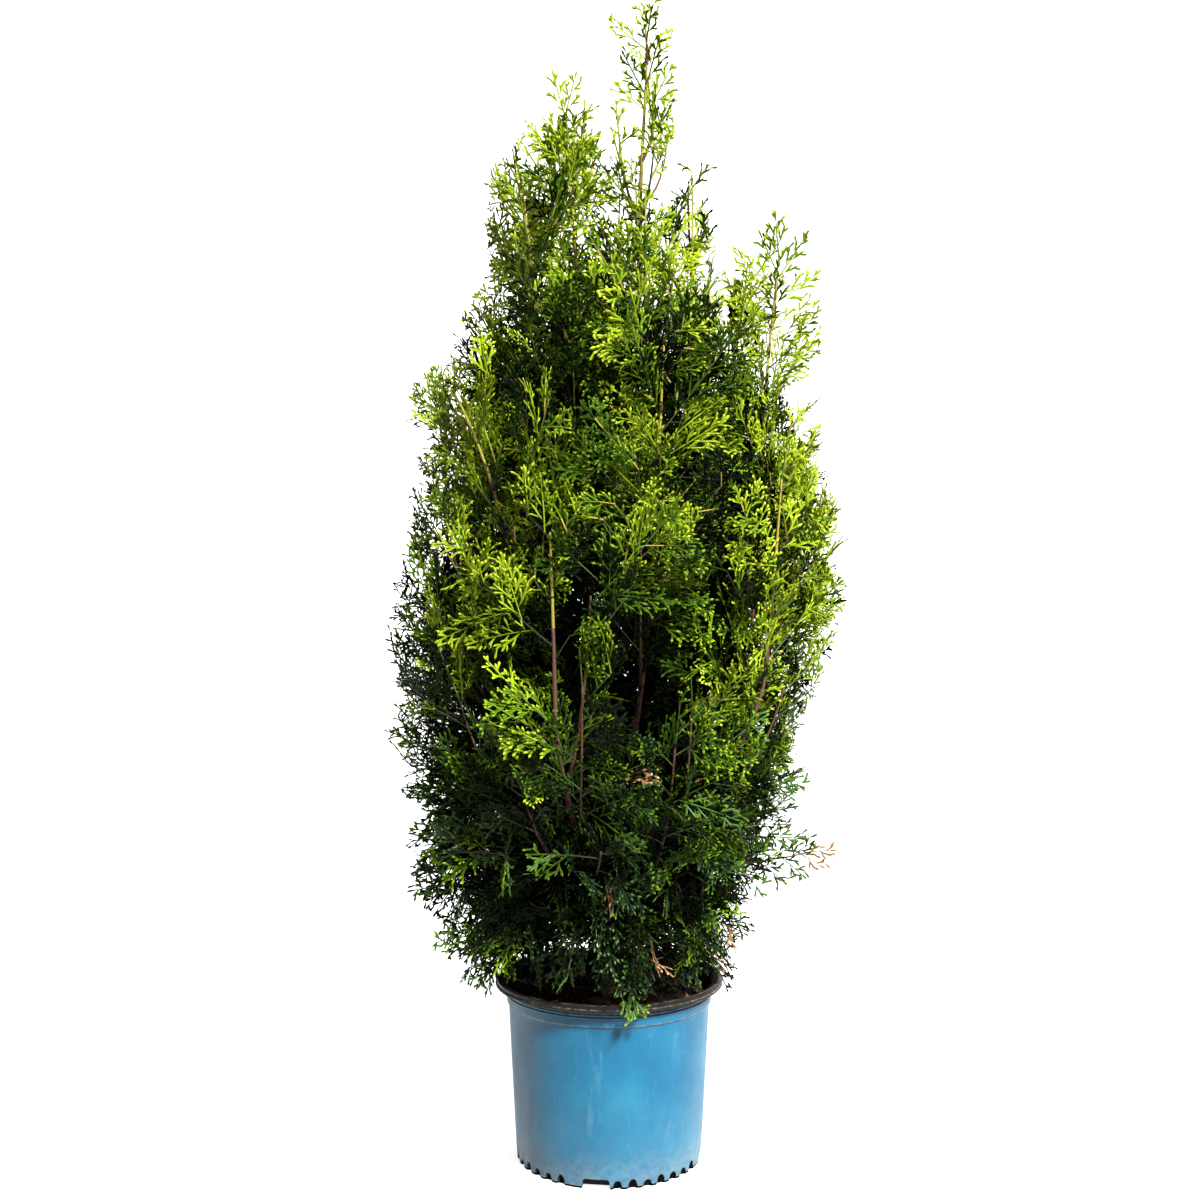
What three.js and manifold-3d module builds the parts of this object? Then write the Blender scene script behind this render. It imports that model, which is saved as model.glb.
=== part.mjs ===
import * as THREE from "three";
import { mergeVertices } from "three/addons/utils/BufferGeometryUtils.js";
import Module from "manifold-3d";

// A young arborvitae with many upright stems, growing in a plastic nursery pot.
// Millimetres, +Z up. The origin is the centre of the pot's underside, and -Y is the plant's front.

const wasm = await Module();
wasm.setup();

// Pot: a tapered tub with a flat floor, and a wider band under a rolled lip.
const potHeight = 220;
const lipRadius = 140;
const footRadius = 113.5;
const stepRadius = 123.5;
const stepHeight = 191;
const bandRadius = 127.5;
const wall = 2.4;
const floorThickness = 3;
const potSides = 36;

// Pot's foot: four slots that let water out, and a row of seven shallow dents after each.
const notchCount = 4;
const notchTurn = -98;
const notchFoot = 18;
const notchTop = 12.5;
const notchHeight = 12;
const notchDepth = 14;
const dentCount = 7;
const dentSize = [2.6, 4.6, 13.5];
const dentTop = 17;
const firstDent = 13.5;
const dentPitch = 9.8;

// Potting mix: fills the pot to below the lip.
const mixTop = 197;
const mixCrown = 4;
const clearance = 0.4;

// Trunk: the line of its middle, and its radius at the foot and tip. It runs whole from the soil to its tip.
const soilLevel = mixTop + mixCrown + 0.3;
const trunkLine = [
  [0, 0, soilLevel - 8],
  [2, 2, 430],
  [3, 4, 700],
  [10, 2, 880],
  [36, -4, 1066],
  [38, -2, 1165],
  [47, 0, 1345],
];
const trunkFoot = 14;
const trunkTip = 1.7;
const flare = 7;
const flareShare = 0.045;
const trunkSides = 8;
const trunkSteps = 16;

// Boughs: each leaves the trunk at a height and rises to its tip.
// A bend of 1 is a straight limb, and a higher one turns upright sooner.
const boughs = [
  { name: "bough_tall_left", leaves: 372, tip: [-38, 42, 985], bend: 1.5, foot: 6.4 },
  { name: "bough_mid_left", leaves: 318, tip: [-84, -70, 905], bend: 1.6, foot: 6.8 },
  { name: "bough_tall_right", leaves: 400, tip: [100, 34, 900], bend: 1.4, foot: 5.6 },
  { name: "bough_far_right", leaves: 286, tip: [186, -28, 830], bend: 1.6, foot: 6.8 },
  { name: "bough_inner_right", leaves: 346, tip: [146, 52, 800], bend: 1.7, foot: 5.4 },
  { name: "bough_leaning_left", leaves: 300, tip: [-116, -118, 720], bend: 1.2, foot: 6.0 },
  { name: "bough_far_left", leaves: 262, tip: [-200, 30, 690], bend: 1.5, foot: 5.8 },
  { name: "bough_front", leaves: 332, tip: [52, -136, 740], bend: 1.3, foot: 5.6 },
  { name: "bough_front_left", leaves: 272, tip: [-60, -196, 560], bend: 1.5, foot: 5.2 },
  { name: "bough_front_right", leaves: 278, tip: [176, -150, 600], bend: 1.4, foot: 5.6 },
  { name: "bough_back", leaves: 296, tip: [-6, 160, 830], bend: 1.8, foot: 6.2 },
  { name: "bough_back_right", leaves: 310, tip: [150, 180, 640], bend: 1.5, foot: 5.4 },
  { name: "bough_back_left", leaves: 334, tip: [-128, 160, 700], bend: 1.5, foot: 5.6 },
];
const boughTip = 1.8;
const boughSides = 5;
const boughSteps = 7;
const limbClearance = 0.5;

// Crown: how far the foliage reaches to the left and the right of the pot's axis, by height.
const crownReach = [
  { height: 190, left: 150, right: 150 },
  { height: 240, left: 205, right: 170 },
  { height: 340, left: 246, right: 200 },
  { height: 400, left: 252, right: 226 },
  { height: 530, left: 281, right: 246 },
  { height: 640, left: 277, right: 285 },
  { height: 710, left: 266, right: 304 },
  { height: 845, left: 240, right: 296 },
  { height: 940, left: 249, right: 262 },
  { height: 1000, left: 192, right: 262 },
  { height: 1080, left: 150, right: 262 },
  { height: 1200, left: 152, right: 240 },
  { height: 1290, left: 90, right: 90 },
  { height: 1424, left: 80, right: 80 },
];
const crownTop = 1424;
const depthShare = 0.92;
const crownAxis = [10, 0];

// Masses that go on from the limbs' tips, with the place of their own tip and how wide they spread.
const plumes = [
  { name: "foliage_top", limb: "trunk", tip: [44, 0, 1400], spread: 50 },
  { name: "foliage_tall_left", limb: "bough_tall_left", tip: [-58, 36, 1300], spread: 66 },
  { name: "foliage_mid_left", limb: "bough_mid_left", tip: [-112, -46, 1225], spread: 84 },
  { name: "foliage_tall_right", limb: "bough_tall_right", tip: [106, 34, 1180], spread: 60 },
  { name: "foliage_far_right", limb: "bough_far_right", tip: [210, -24, 1110], spread: 76 },
  { name: "foliage_inner_right", limb: "bough_inner_right", tip: [158, 54, 1075], spread: 66 },
  { name: "foliage_leaning_left", limb: "bough_leaning_left", tip: [-186, -112, 935], spread: 90 },
  { name: "foliage_far_left", limb: "bough_far_left", tip: [-208, 34, 925], spread: 90 },
  { name: "foliage_front", limb: "bough_front", tip: [62, -138, 975], spread: 90 },
  { name: "foliage_front_left", limb: "bough_front_left", tip: [-66, -204, 765], spread: 95 },
  { name: "foliage_front_right", limb: "bough_front_right", tip: [196, -138, 820], spread: 95 },
  { name: "foliage_back", limb: "bough_back", tip: [-10, 158, 1060], spread: 90 },
  { name: "foliage_back_right", limb: "bough_back_right", tip: [166, 176, 860], spread: 95 },
  { name: "foliage_back_left", limb: "bough_back_left", tip: [-150, 166, 905], spread: 95 },
];

// Small masses round the upper trunk: where they leave it, the way they face, and their reach out and up.
const spires = [
  { name: "foliage_spire_1", leaves: 1000, turn: 250, out: 44, rise: 96, spread: 60 },
  { name: "foliage_spire_2", leaves: 1085, turn: 70, out: 34, rise: 92, spread: 50 },
  { name: "foliage_spire_3", leaves: 1150, turn: 205, out: 26, rise: 88, spread: 44 },
  { name: "foliage_spire_4", leaves: 1225, turn: 350, out: 22, rise: 84, spread: 40 },
];

// Masses round the limbs, tier by tier. Each grows from the limb that suits it to a share of the reach.
// It curves out and then rises over its climb. droop turns its sprays down.
const tiers = [
  { name: "foliage_skirt", height: 330, count: 7, turn: 14, share: 0.8, climb: 90, droop: 0.45, spread: 130 },
  { name: "foliage_lower", height: 500, count: 7, turn: 40, share: 0.8, climb: 190, droop: 0.1, spread: 130 },
  { name: "foliage_middle", height: 680, count: 7, turn: 12, share: 0.8, climb: 220, droop: -0.1, spread: 130 },
  { name: "foliage_inner", height: 900, count: 4, turn: 62, share: 0.46, climb: 220, droop: -0.2, spread: 110 },
];
const tierCore = 0.36;
const stemSweep = 0.5;
const spireSweep = 0.4;
const stemSteps = 6;

// A dead side branch that sticks out past the crown, low on the right.
const withered = { name: "foliage_withered", tip: [260, -40, 384], climb: 66, droop: 0, spread: 42, edge: 1.4 };

// A blade of foliage: half of its outline, as shares of its length across and along, from its foot to its tip.
const bladeLength = 1.4; // times the mass's spread
const bladeThickness = 3;
const bladeMiddle = 0.42;
const bladeHalf = [
  [0.05, 0.14],
  [0.32, 0.5],
  [0.15, 0.47],
  [0.25, 0.82],
  [0.08, 0.75],
];
const bladeSizes = [1, 0.9, 0.8, 0.7, 0.62, 0.54];
const bladeEvery = 15;
const bladeTries = 9;
const bladeSpacing = 0.46;
const splay = 46;
const stemFoot = 2.6;
const stemTip = 1.2;
const stemSides = 3;
const stemSolidSteps = 4;
const keepApart = 2.4;

// A core: a lumpy body round the outer part of a dense mass's stem.
const coreSides = 5;
const coreRings = 4;

const leafGreen = new THREE.MeshStandardMaterial({ color: 0x3f6b22, roughness: 0.62, metalness: 0 });
const freshGreen = new THREE.MeshStandardMaterial({ color: 0x86a832, roughness: 0.6, metalness: 0 });
const witheredTan = new THREE.MeshStandardMaterial({ color: 0xb07c4e, roughness: 0.8, metalness: 0 });
const bark = new THREE.MeshStandardMaterial({ color: 0x6a4a38, roughness: 0.85, metalness: 0 });
const bluePlastic = new THREE.MeshStandardMaterial({ color: 0x3b84b4, roughness: 0.45, metalness: 0 });
const pottingMix = new THREE.MeshStandardMaterial({ color: 0x1f1713, roughness: 1, metalness: 0 });

const radians = THREE.MathUtils.degToRad;
const zAxis = new THREE.Vector3(0, 0, 1);

// A fixed random number from 0 to 1 for each pair of counts.
function chance(a, b) {
  const wave = Math.sin(a * 12.9898 + b * 78.233 + 4.137) * 43758.5453;
  return wave - Math.floor(wave);
}

function solidOf(geometry) {
  const bare = geometry.clone();
  bare.deleteAttribute("normal");
  bare.deleteAttribute("uv");
  const merged = mergeVertices(bare, 1e-4);
  return new wasm.Manifold(
    new wasm.Mesh({
      numProp: 3,
      vertProperties: new Float32Array(merged.attributes.position.array),
      triVerts: new Uint32Array(merged.index.array),
    }),
  );
}

function geometryOf(solid) {
  const mesh = solid.getMesh();
  const geometry = new THREE.BufferGeometry();
  geometry.setAttribute("position", new THREE.BufferAttribute(mesh.vertProperties, 3));
  geometry.setIndex(new THREE.BufferAttribute(mesh.triVerts, 1));
  geometry.computeVertexNormals();
  return geometry;
}

function largestBody(solid) {
  const bodies = solid.decompose();
  return bodies.reduce((best, body) => (body.volume() > best.volume() ? body : best));
}

// A round limb along a line of points, with a radius for each share of its length.
function limbGeometry(pointAt, radiusAt, sides, steps) {
  const geometry = new THREE.CylinderGeometry(1, 1, 1, sides, steps);
  const position = geometry.attributes.position;
  for (let i = 0; i < position.count; i++) {
    const share = position.getY(i) + 0.5;
    const ahead = pointAt(Math.min(1, share + 0.01));
    const along = ahead.sub(pointAt(Math.max(0, share - 0.01))).normalize();
    const across = new THREE.Vector3(0, 1, 0).cross(along).normalize();
    const round = along.clone().cross(across);
    const radius = radiusAt(share);
    const point = pointAt(share)
      .addScaledVector(across, position.getX(i) * radius)
      .addScaledVector(round, -position.getZ(i) * radius);
    position.setXYZ(i, point.x, point.y, point.z);
  }
  return geometry;
}

function flipped(geometry) {
  const index = geometry.index.array;
  for (let i = 0; i < index.length; i += 3) [index[i], index[i + 1]] = [index[i + 1], index[i]];
  return geometry;
}

function facingOut(geometry) {
  const solid = solidOf(geometry);
  return solid.volume() < 0 ? solidOf(flipped(geometry)) : solid;
}

// Limbs: the trunk first, then the boughs that leave it.
const trunkCurve = new THREE.CatmullRomCurve3(trunkLine.map((p) => new THREE.Vector3(...p)));

function trunkAtHeight(height) {
  const foot = trunkLine[0][2];
  const top = trunkLine.at(-1)[2];
  let share = (height - foot) / (top - foot);
  for (let i = 0; i < 12; i++) share += (height - trunkCurve.getPointAt(share).z) / (top - foot);
  return trunkCurve.getPointAt(share);
}

function trunkRadius(share) {
  const taper = trunkTip + (trunkFoot - trunkTip) * Math.pow(1 - share, 1.35);
  return taper + flare * Math.max(0, 1 - share / flareShare) ** 2;
}

function boughLimb(bough) {
  const start = trunkAtHeight(bough.leaves);
  const tip = new THREE.Vector3(...bough.tip);
  return {
    name: bough.name,
    pointAt(share) {
      const outward = 1 - Math.pow(1 - share, bough.bend);
      return new THREE.Vector3(
        start.x + (tip.x - start.x) * outward,
        start.y + (tip.y - start.y) * outward,
        start.z + (tip.z - start.z) * share,
      );
    },
    radiusAt: (share) => boughTip + (bough.foot - boughTip) * Math.pow(1 - share, 1.1),
  };
}

const trunk = { name: "trunk", pointAt: (share) => trunkCurve.getPointAt(share), radiusAt: trunkRadius };
const limbs = [trunk, ...boughs.map(boughLimb)];
const limbSamples = 40;
for (const limb of limbs) {
  limb.samples = [];
  for (let i = 0; i <= limbSamples; i++) {
    const share = i / limbSamples;
    limb.samples.push({ share, point: limb.pointAt(share), radius: limb.radiusAt(share) });
  }
}

function distanceToLine(point, points) {
  let best = Infinity;
  for (let i = 0; i + 1 < points.length; i++) {
    const a = points[i];
    const b = points[i + 1];
    const ax = point.x - a.x;
    const ay = point.y - a.y;
    const az = point.z - a.z;
    const bx = b.x - a.x;
    const by = b.y - a.y;
    const bz = b.z - a.z;
    const share = Math.max(0, Math.min(1, (ax * bx + ay * by + az * bz) / (bx * bx + by * by + bz * bz)));
    best = Math.min(best, Math.hypot(ax - bx * share, ay - by * share, az - bz * share));
  }
  return best;
}

function limbGap(point, limb) {
  let best = Infinity;
  for (const sample of limb.samples) {
    best = Math.min(best, point.distanceTo(sample.point) - sample.radius);
  }
  return best;
}

function reachAt(height) {
  const rows = crownReach;
  const last = rows.length - 1;
  const z = Math.max(rows[0].height, Math.min(rows[last].height, height));
  let i = 0;
  while (i < last - 1 && z > rows[i + 1].height) i++;
  const share = (z - rows[i].height) / (rows[i + 1].height - rows[i].height);
  return {
    left: rows[i].left + (rows[i + 1].left - rows[i].left) * share,
    right: rows[i].right + (rows[i + 1].right - rows[i].right) * share,
  };
}

// 1 on the crown's outline at that height, and less inside it.
function crownShare(x, y, z) {
  const reach = reachAt(z);
  const depth = ((reach.left + reach.right) / 2) * depthShare;
  return Math.hypot(x / (x < 0 ? reach.left : reach.right), y / depth);
}

// A stem that sets out level and ends upright. A sweep of 0 leaves it straight.
function stemLine(start, end, sweep) {
  const middle = start.clone().lerp(end, 0.5);
  middle.x += (end.x - middle.x) * sweep;
  middle.y += (end.y - middle.y) * sweep;
  middle.z += (start.z - middle.z) * sweep;
  return new THREE.QuadraticBezierCurve3(start, middle, end).getPoints(stemSteps);
}

function alongLine(line, share) {
  const at = Math.min(stemSteps - 1e-6, Math.max(0, share * stemSteps));
  const from = Math.floor(at);
  return line[from].clone().lerp(line[from + 1], at - from);
}

// Every mass: its stem's line, its spread, the edge of the crown it keeps inside, its core and its droop.
const masses = [];

function addMass(name, line, settings) {
  masses.push({ name, line, terminal: false, core: 0, droop: 0, edge: 1, ...settings });
}

for (const { name, limb, tip, spread } of plumes) {
  const carrier = limbs.find((other) => other.name === limb);
  const limbTip = carrier.pointAt(1);
  const along = limbTip.clone().sub(carrier.pointAt(0.99)).normalize();
  const start = limbTip.clone().addScaledVector(along, clearance);
  const end = new THREE.Vector3(...tip);
  const middle = start.clone().addScaledVector(along, start.distanceTo(end) / 2);
  const line = new THREE.QuadraticBezierCurve3(start, middle, end).getPoints(stemSteps);
  addMass(name, line, { terminal: true, spread });
}

for (const { name, leaves, turn, out, rise, spread } of spires) {
  const start = trunkAtHeight(leaves);
  const end = start.clone();
  end.x += Math.cos(radians(turn)) * out;
  end.y += Math.sin(radians(turn)) * out;
  end.z += rise;
  addMass(name, stemLine(start, end, spireSweep), { spread });
}

function isClear(line, own, sample) {
  const checks = 14;
  for (let i = 0; i <= checks; i++) {
    const point = alongLine(line, i / checks);
    const fromRoot = point.distanceTo(sample.point);
    for (const limb of limbs) {
      if (limb === own && fromRoot < sample.radius * 2 + 22) continue;
      if (limbGap(point, limb) < 9) return false;
    }
    for (const mass of masses) if (distanceToLine(point, mass.line) < 14) return false;
  }
  return true;
}

// The stem that rises to the target from a point of a limb about its climb lower, clear of all else.
function bestStem(target, wantedClimb) {
  const choices = [];
  for (const limb of limbs) {
    for (const sample of limb.samples) {
      const level = Math.hypot(target.x - sample.point.x, target.y - sample.point.y);
      const climb = target.z - sample.point.z;
      const cost = level + 1.5 * Math.abs(climb - wantedClimb);
      const isFree = sample.share < 0.93 && sample.point.z > mixTop + 30 && level > 45;
      if (isFree) choices.push({ limb, sample, cost });
    }
  }
  choices.sort((a, b) => a.cost - b.cost);
  for (const { limb, sample } of choices) {
    const line = stemLine(sample.point, target, stemSweep);
    if (isClear(line, limb, sample)) return line;
  }
  return null;
}

tiers.forEach((tier, row) => {
  for (let i = 0; i < tier.count; i++) {
    const turn = radians(tier.turn + (360 * (i + 0.35 * (chance(row, i) - 0.5))) / tier.count);
    const height = tier.height + 50 * (chance(row + 9, i) - 0.5);
    const reach = reachAt(height);
    const side = Math.cos(turn) < 0 ? reach.left : reach.right;
    const depth = ((reach.left + reach.right) / 2) * depthShare;
    const target = new THREE.Vector3(
      Math.cos(turn) * side * tier.share,
      Math.sin(turn) * depth * tier.share,
      height,
    );
    const line = bestStem(target, tier.climb);
    const settings = { spread: tier.spread, core: tierCore, droop: tier.droop };
    if (line) addMass(`${tier.name}_${i + 1}`, line, settings);
  }
});

const witheredLine = bestStem(new THREE.Vector3(...withered.tip), withered.climb);
addMass(withered.name, witheredLine, withered);

// Foliage: a fan-shaped blade is a flat ring of teeth with a low ridge on each face.
const bladeOutline = [
  [0, 0],
  ...bladeHalf,
  [0, 1],
  ...bladeHalf.map(([across, along]) => [-across, along]).reverse(),
];

function bladePoint(blade, across, along, lift) {
  return blade.root
    .clone()
    .addScaledVector(blade.side, across * blade.length)
    .addScaledVector(blade.ahead, along * blade.length)
    .addScaledVector(blade.face, lift);
}

function bladeGeometry(blade) {
  const count = bladeOutline.length;
  const geometry = new THREE.SphereGeometry(1, count, 2);
  const position = geometry.attributes.position;
  for (let i = 0; i < position.count; i++) {
    const row = Math.floor(i / (count + 1));
    const [across, along] = row === 1 ? bladeOutline[(i % (count + 1)) % count] : [0, bladeMiddle];
    const point = bladePoint(blade, across, along, (1 - row) * (bladeThickness / 2));
    position.setXYZ(i, point.x, point.y, point.z);
  }
  return geometry;
}

// Whether a point is in the mass's own space: nearer its stem than any other's, and clear of limbs and pot.
function isInSpace(point, mass, inset) {
  const own = distanceToLine(point, mass.line);
  if (own > mass.spread || crownShare(point.x, point.y, point.z) > mass.edge * inset) return false;
  if (point.z > crownTop || point.z < mixTop + 14) return false;
  if (point.z < potHeight + 4 && Math.hypot(point.x, point.y) < lipRadius + 6) return false;
  if (own < stemFoot + 1) return true;
  for (const limb of limbs) if (limbGap(point, limb) < keepApart + 2) return false;
  for (const other of masses) {
    if (other !== mass && distanceToLine(point, other.line) < own + keepApart) return false;
  }
  return true;
}

function hasRoom(blade, mass) {
  for (const [across, along] of bladeOutline) {
    for (const share of [1, 0.6]) {
      const middle = bladeMiddle + (along - bladeMiddle) * share;
      if (!isInSpace(bladePoint(blade, across * share, middle, 0), mass, 1)) return false;
    }
  }
  return true;
}

// Whether a blade's middle stays off the middles of those already grown.
function isApart(blade, blades) {
  const middle = bladePoint(blade, 0, 0.55, 0);
  return blades.every((other) => {
    const gap = middle.distanceTo(bladePoint(other, 0, 0.55, 0));
    return gap > bladeSpacing * Math.max(blade.length, other.length);
  });
}

// A blade at a share of the stem. Blades fan out to the left and right in turn, each third one faces out,
// and a blade turns and shrinks until it has room.
function growBlade(mass, order, k, count, blades) {
  const first = mass.terminal ? 0.06 : 0.3;
  const share = first + ((1 - first) * k) / (count - 1);
  const root = alongLine(mass.line, share);
  const along = alongLine(mass.line, share + 0.05).sub(alongLine(mass.line, share - 0.05)).normalize();
  const away = new THREE.Vector3(root.x - crownAxis[0], root.y - crownAxis[1], 0).normalize();
  const level = zAxis.clone().cross(away);
  const last = k === count - 1;
  const lean = radians(last ? 5 : splay + 16 * (chance(order, k + 50) - 0.5));
  const roll = 1.2 * (chance(order, k + 90) - 0.5);
  const full = bladeLength * mass.spread * (1 - 0.15 * share) * (0.9 + 0.2 * chance(order, k + 130));
  for (const size of bladeSizes) {
    for (let attempt = 0; attempt < bladeTries; attempt++) {
      const base = [15, 165, 90][(k + attempt) % 3];
      const turn = radians(base + 60 * (chance(order, k * 7 + attempt) - 0.5));
      const out = level.clone().multiplyScalar(Math.cos(turn)).addScaledVector(away, Math.sin(turn));
      const ahead = along.clone().multiplyScalar(Math.cos(lean)).addScaledVector(out, Math.sin(lean));
      ahead.z -= mass.droop;
      ahead.normalize();
      const side = away.clone().cross(ahead).normalize().applyAxisAngle(ahead, roll);
      const face = side.clone().cross(ahead);
      const blade = { root, ahead, side, face, length: full * size };
      if (isApart(blade, blades) && hasRoom(blade, mass)) return blade;
    }
  }
  return null;
}

function growBlades(mass, order) {
  let length = 0;
  for (let i = 0; i < stemSteps; i++) length += mass.line[i].distanceTo(mass.line[i + 1]);
  const count = Math.max(3, Math.round(length / bladeEvery));
  const blades = [];
  for (let k = 0; k < count; k++) {
    const blade = growBlade(mass, order, k, count, blades);
    if (blade) blades.push(blade);
  }
  return blades;
}

function stemRadius(share) {
  return stemFoot + (stemTip - stemFoot) * share;
}

// A core's skin stands as far out from the stem as the mass's space allows, times the mass's share.
function coreGeometry(mass) {
  const geometry = new THREE.SphereGeometry(1, coreSides, coreRings);
  const position = geometry.attributes.position;
  for (let i = 0; i < position.count; i++) {
    const y = position.getY(i);
    const share = 0.62 + 0.34 * y;
    const middle = alongLine(mass.line, share);
    const along = alongLine(mass.line, share + 0.05).sub(alongLine(mass.line, share - 0.05)).normalize();
    const level = along.clone().cross(zAxis).normalize();
    const up = level.clone().cross(along);
    const way = level.multiplyScalar(position.getX(i)).addScaledVector(up, position.getZ(i));
    let reach = mass.spread;
    while (reach > 4 && !isInSpace(middle.clone().addScaledVector(way, reach), mass, 0.86)) reach -= 3;
    const point = middle.addScaledVector(way, reach * mass.core);
    position.setXYZ(i, point.x, point.y, point.z);
  }
  return geometry;
}

// Limbs and masses as solids. Each later one is cut clear of the limbs before it.
const finished = new Map();

function limbSolid(limb, grow) {
  const [sides, steps] = limb === trunk ? [trunkSides, trunkSteps] : [boughSides, boughSteps];
  return facingOut(limbGeometry(limb.pointAt, (share) => limb.radiusAt(share) + grow, sides, steps));
}

// The ground inside the pot, so the trunk ends at its top in a flat cut.
const ground = facingOut(new THREE.BoxGeometry(80, 80, 40).translate(0, 0, soilLevel - 20));
finished.set("trunk", limbSolid(trunk, 0).subtract(ground));
let clearLimbs = limbSolid(trunk, limbClearance);
for (const limb of limbs.slice(1)) {
  finished.set(limb.name, largestBody(limbSolid(limb, 0).subtract(clearLimbs)));
  clearLimbs = clearLimbs.add(limbSolid(limb, limbClearance));
}

masses.forEach((mass, order) => {
  const stem = limbGeometry((share) => alongLine(mass.line, share), stemRadius, stemSides, stemSolidSteps);
  const parts = [facingOut(stem), ...growBlades(mass, order).map((blade) => facingOut(bladeGeometry(blade)))];
  if (mass.core) parts.push(facingOut(coreGeometry(mass)));
  finished.set(mass.name, largestBody(wasm.Manifold.union(parts).subtract(clearLimbs)));
});

// Pot: one turned shell with its slots and dents cut out.
function potSolid() {
  const profile = [
    [0, 0],
    [footRadius - 1, 0],
    [footRadius, 2],
    [footRadius + 0.8, dentTop],
    [stepRadius, stepHeight - 2],
    [stepRadius + 2.2, stepHeight],
    [bandRadius, potHeight - 11],
    [lipRadius - 3, potHeight - 9],
    [lipRadius, potHeight - 5],
    [lipRadius - 4, potHeight],
    [bandRadius + 2, potHeight - 3],
    [bandRadius - wall, potHeight - 12],
    [stepRadius - wall, stepHeight - 4],
    [footRadius - wall, floorThickness],
    [0, floorThickness],
  ];
  const outline = profile.map(([x, y]) => new THREE.Vector2(x, y));
  const shell = facingOut(new THREE.LatheGeometry(outline, potSides).rotateX(Math.PI / 2));
  const cuts = [];
  for (let i = 0; i < notchCount; i++) {
    const turn = notchTurn + (360 * i) / notchCount;
    cuts.push(notchCutter(turn));
    for (let k = 0; k < dentCount; k++) cuts.push(dentCutter(turn + firstDent + dentPitch * k));
  }
  return largestBody(shell.subtract(wasm.Manifold.union(cuts)));
}

// A slot with sloping sides, cut through the wall and the edge of the floor.
function notchCutter(turn) {
  const shape = new THREE.Shape([
    new THREE.Vector2(-notchFoot, -1),
    new THREE.Vector2(notchFoot, -1),
    new THREE.Vector2(notchTop, notchHeight),
    new THREE.Vector2(-notchTop, notchHeight),
  ]);
  const slot = new THREE.ExtrudeGeometry(shape, { depth: notchDepth + 10, bevelEnabled: false });
  slot.rotateX(Math.PI / 2).rotateZ(Math.PI / 2).translate(footRadius - notchDepth, 0, 0);
  return facingOut(slot.rotateZ(radians(turn)));
}

function dentCutter(turn) {
  const dent = new THREE.OctahedronGeometry(1).scale(...dentSize).translate(footRadius + 0.6, 0, 1);
  return facingOut(dent.rotateZ(radians(turn)));
}

finished.set("pot", potSolid());

// Potting mix: a plug that keeps clear of the pot, heaped a little towards the trunk.
function mixSolid() {
  const inset = wall + clearance;
  const profile = [
    [0, floorThickness + clearance],
    [footRadius - inset - 0.2, floorThickness + clearance],
    [stepRadius - inset - 0.1, stepHeight - 4],
    [stepRadius + 0.8 - inset, mixTop],
    [trunkFoot + 40, mixTop + mixCrown - 1],
    [trunkFoot + flare + 4, mixTop + mixCrown],
    [0, mixTop + mixCrown],
  ];
  const outline = profile.map(([x, y]) => new THREE.Vector2(x, y));
  return facingOut(new THREE.LatheGeometry(outline, potSides).rotateX(Math.PI / 2));
}

finished.set("potting_mix", mixSolid());

function materialOf(name) {
  if (name === "pot") return bluePlastic;
  if (name === "potting_mix") return pottingMix;
  if (name === withered.name) return witheredTan;
  if (!name.startsWith("foliage")) return bark;
  return masses.find((mass) => mass.name === name).terminal ? freshGreen : leafGreen;
}

const plant = new THREE.Group();
for (const [name, solid] of finished) {
  const mesh = new THREE.Mesh(geometryOf(solid), materialOf(name));
  mesh.name = name;
  plant.add(mesh);
}

export default plant;
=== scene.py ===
import math
import bpy
import numpy as np
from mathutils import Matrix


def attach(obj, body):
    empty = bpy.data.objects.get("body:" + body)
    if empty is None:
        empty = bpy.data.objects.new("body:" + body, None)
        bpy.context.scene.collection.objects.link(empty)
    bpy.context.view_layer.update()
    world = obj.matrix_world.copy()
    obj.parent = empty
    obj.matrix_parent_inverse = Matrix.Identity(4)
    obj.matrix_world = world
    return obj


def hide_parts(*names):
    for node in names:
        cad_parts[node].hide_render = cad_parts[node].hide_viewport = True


# A young arborvitae in a plastic nursery pot, dressed over the frame.
# Lengths are millimetres until a mesh is made. +Z is up, and -Y is the plant's front.

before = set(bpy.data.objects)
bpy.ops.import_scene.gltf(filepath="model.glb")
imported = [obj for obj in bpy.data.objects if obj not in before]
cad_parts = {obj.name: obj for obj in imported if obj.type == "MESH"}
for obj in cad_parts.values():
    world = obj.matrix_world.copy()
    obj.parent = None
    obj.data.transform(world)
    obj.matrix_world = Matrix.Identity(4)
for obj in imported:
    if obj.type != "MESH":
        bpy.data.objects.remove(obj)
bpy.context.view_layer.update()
mm = 0.001
dice = np.random.default_rng(38)
print("frame loaded:", len(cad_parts), "nodes")


# Camera: level, in front of the plant, a little to the left of the pot's axis.
camera = {"distance": 1745, "height": 683, "aside": -11, "lens": 42.3, "sensor": 36}

cameraData = bpy.data.cameras.new("camera")
cameraData.lens = camera["lens"]
cameraData.sensor_width = camera["sensor"]
cameraObject = bpy.data.objects.new("camera", cameraData)
cameraObject.location = (camera["aside"] * mm, -camera["distance"] * mm, camera["height"] * mm)
cameraObject.rotation_euler = (math.radians(90), 0, 0)
bpy.context.scene.collection.objects.link(cameraObject)
bpy.context.scene.camera = cameraObject


# Small tools for vectors, materials and meshes.
def unit(vectors):
    return vectors / np.maximum(np.linalg.norm(vectors, axis=-1, keepdims=True), 1e-9)


def dot(a, b):
    return np.sum(a * b, axis=-1, keepdims=True)


def turned(vector, axis, angle):
    return vector * math.cos(angle) + np.cross(axis, vector) * math.sin(angle)


def linear(hexCode):
    channels = [int(hexCode[i:i + 2], 16) / 255 for i in (1, 3, 5)]
    return [c / 12.92 if c <= 0.04045 else ((c + 0.055) / 1.055) ** 2.4 for c in channels] + [1]


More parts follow.
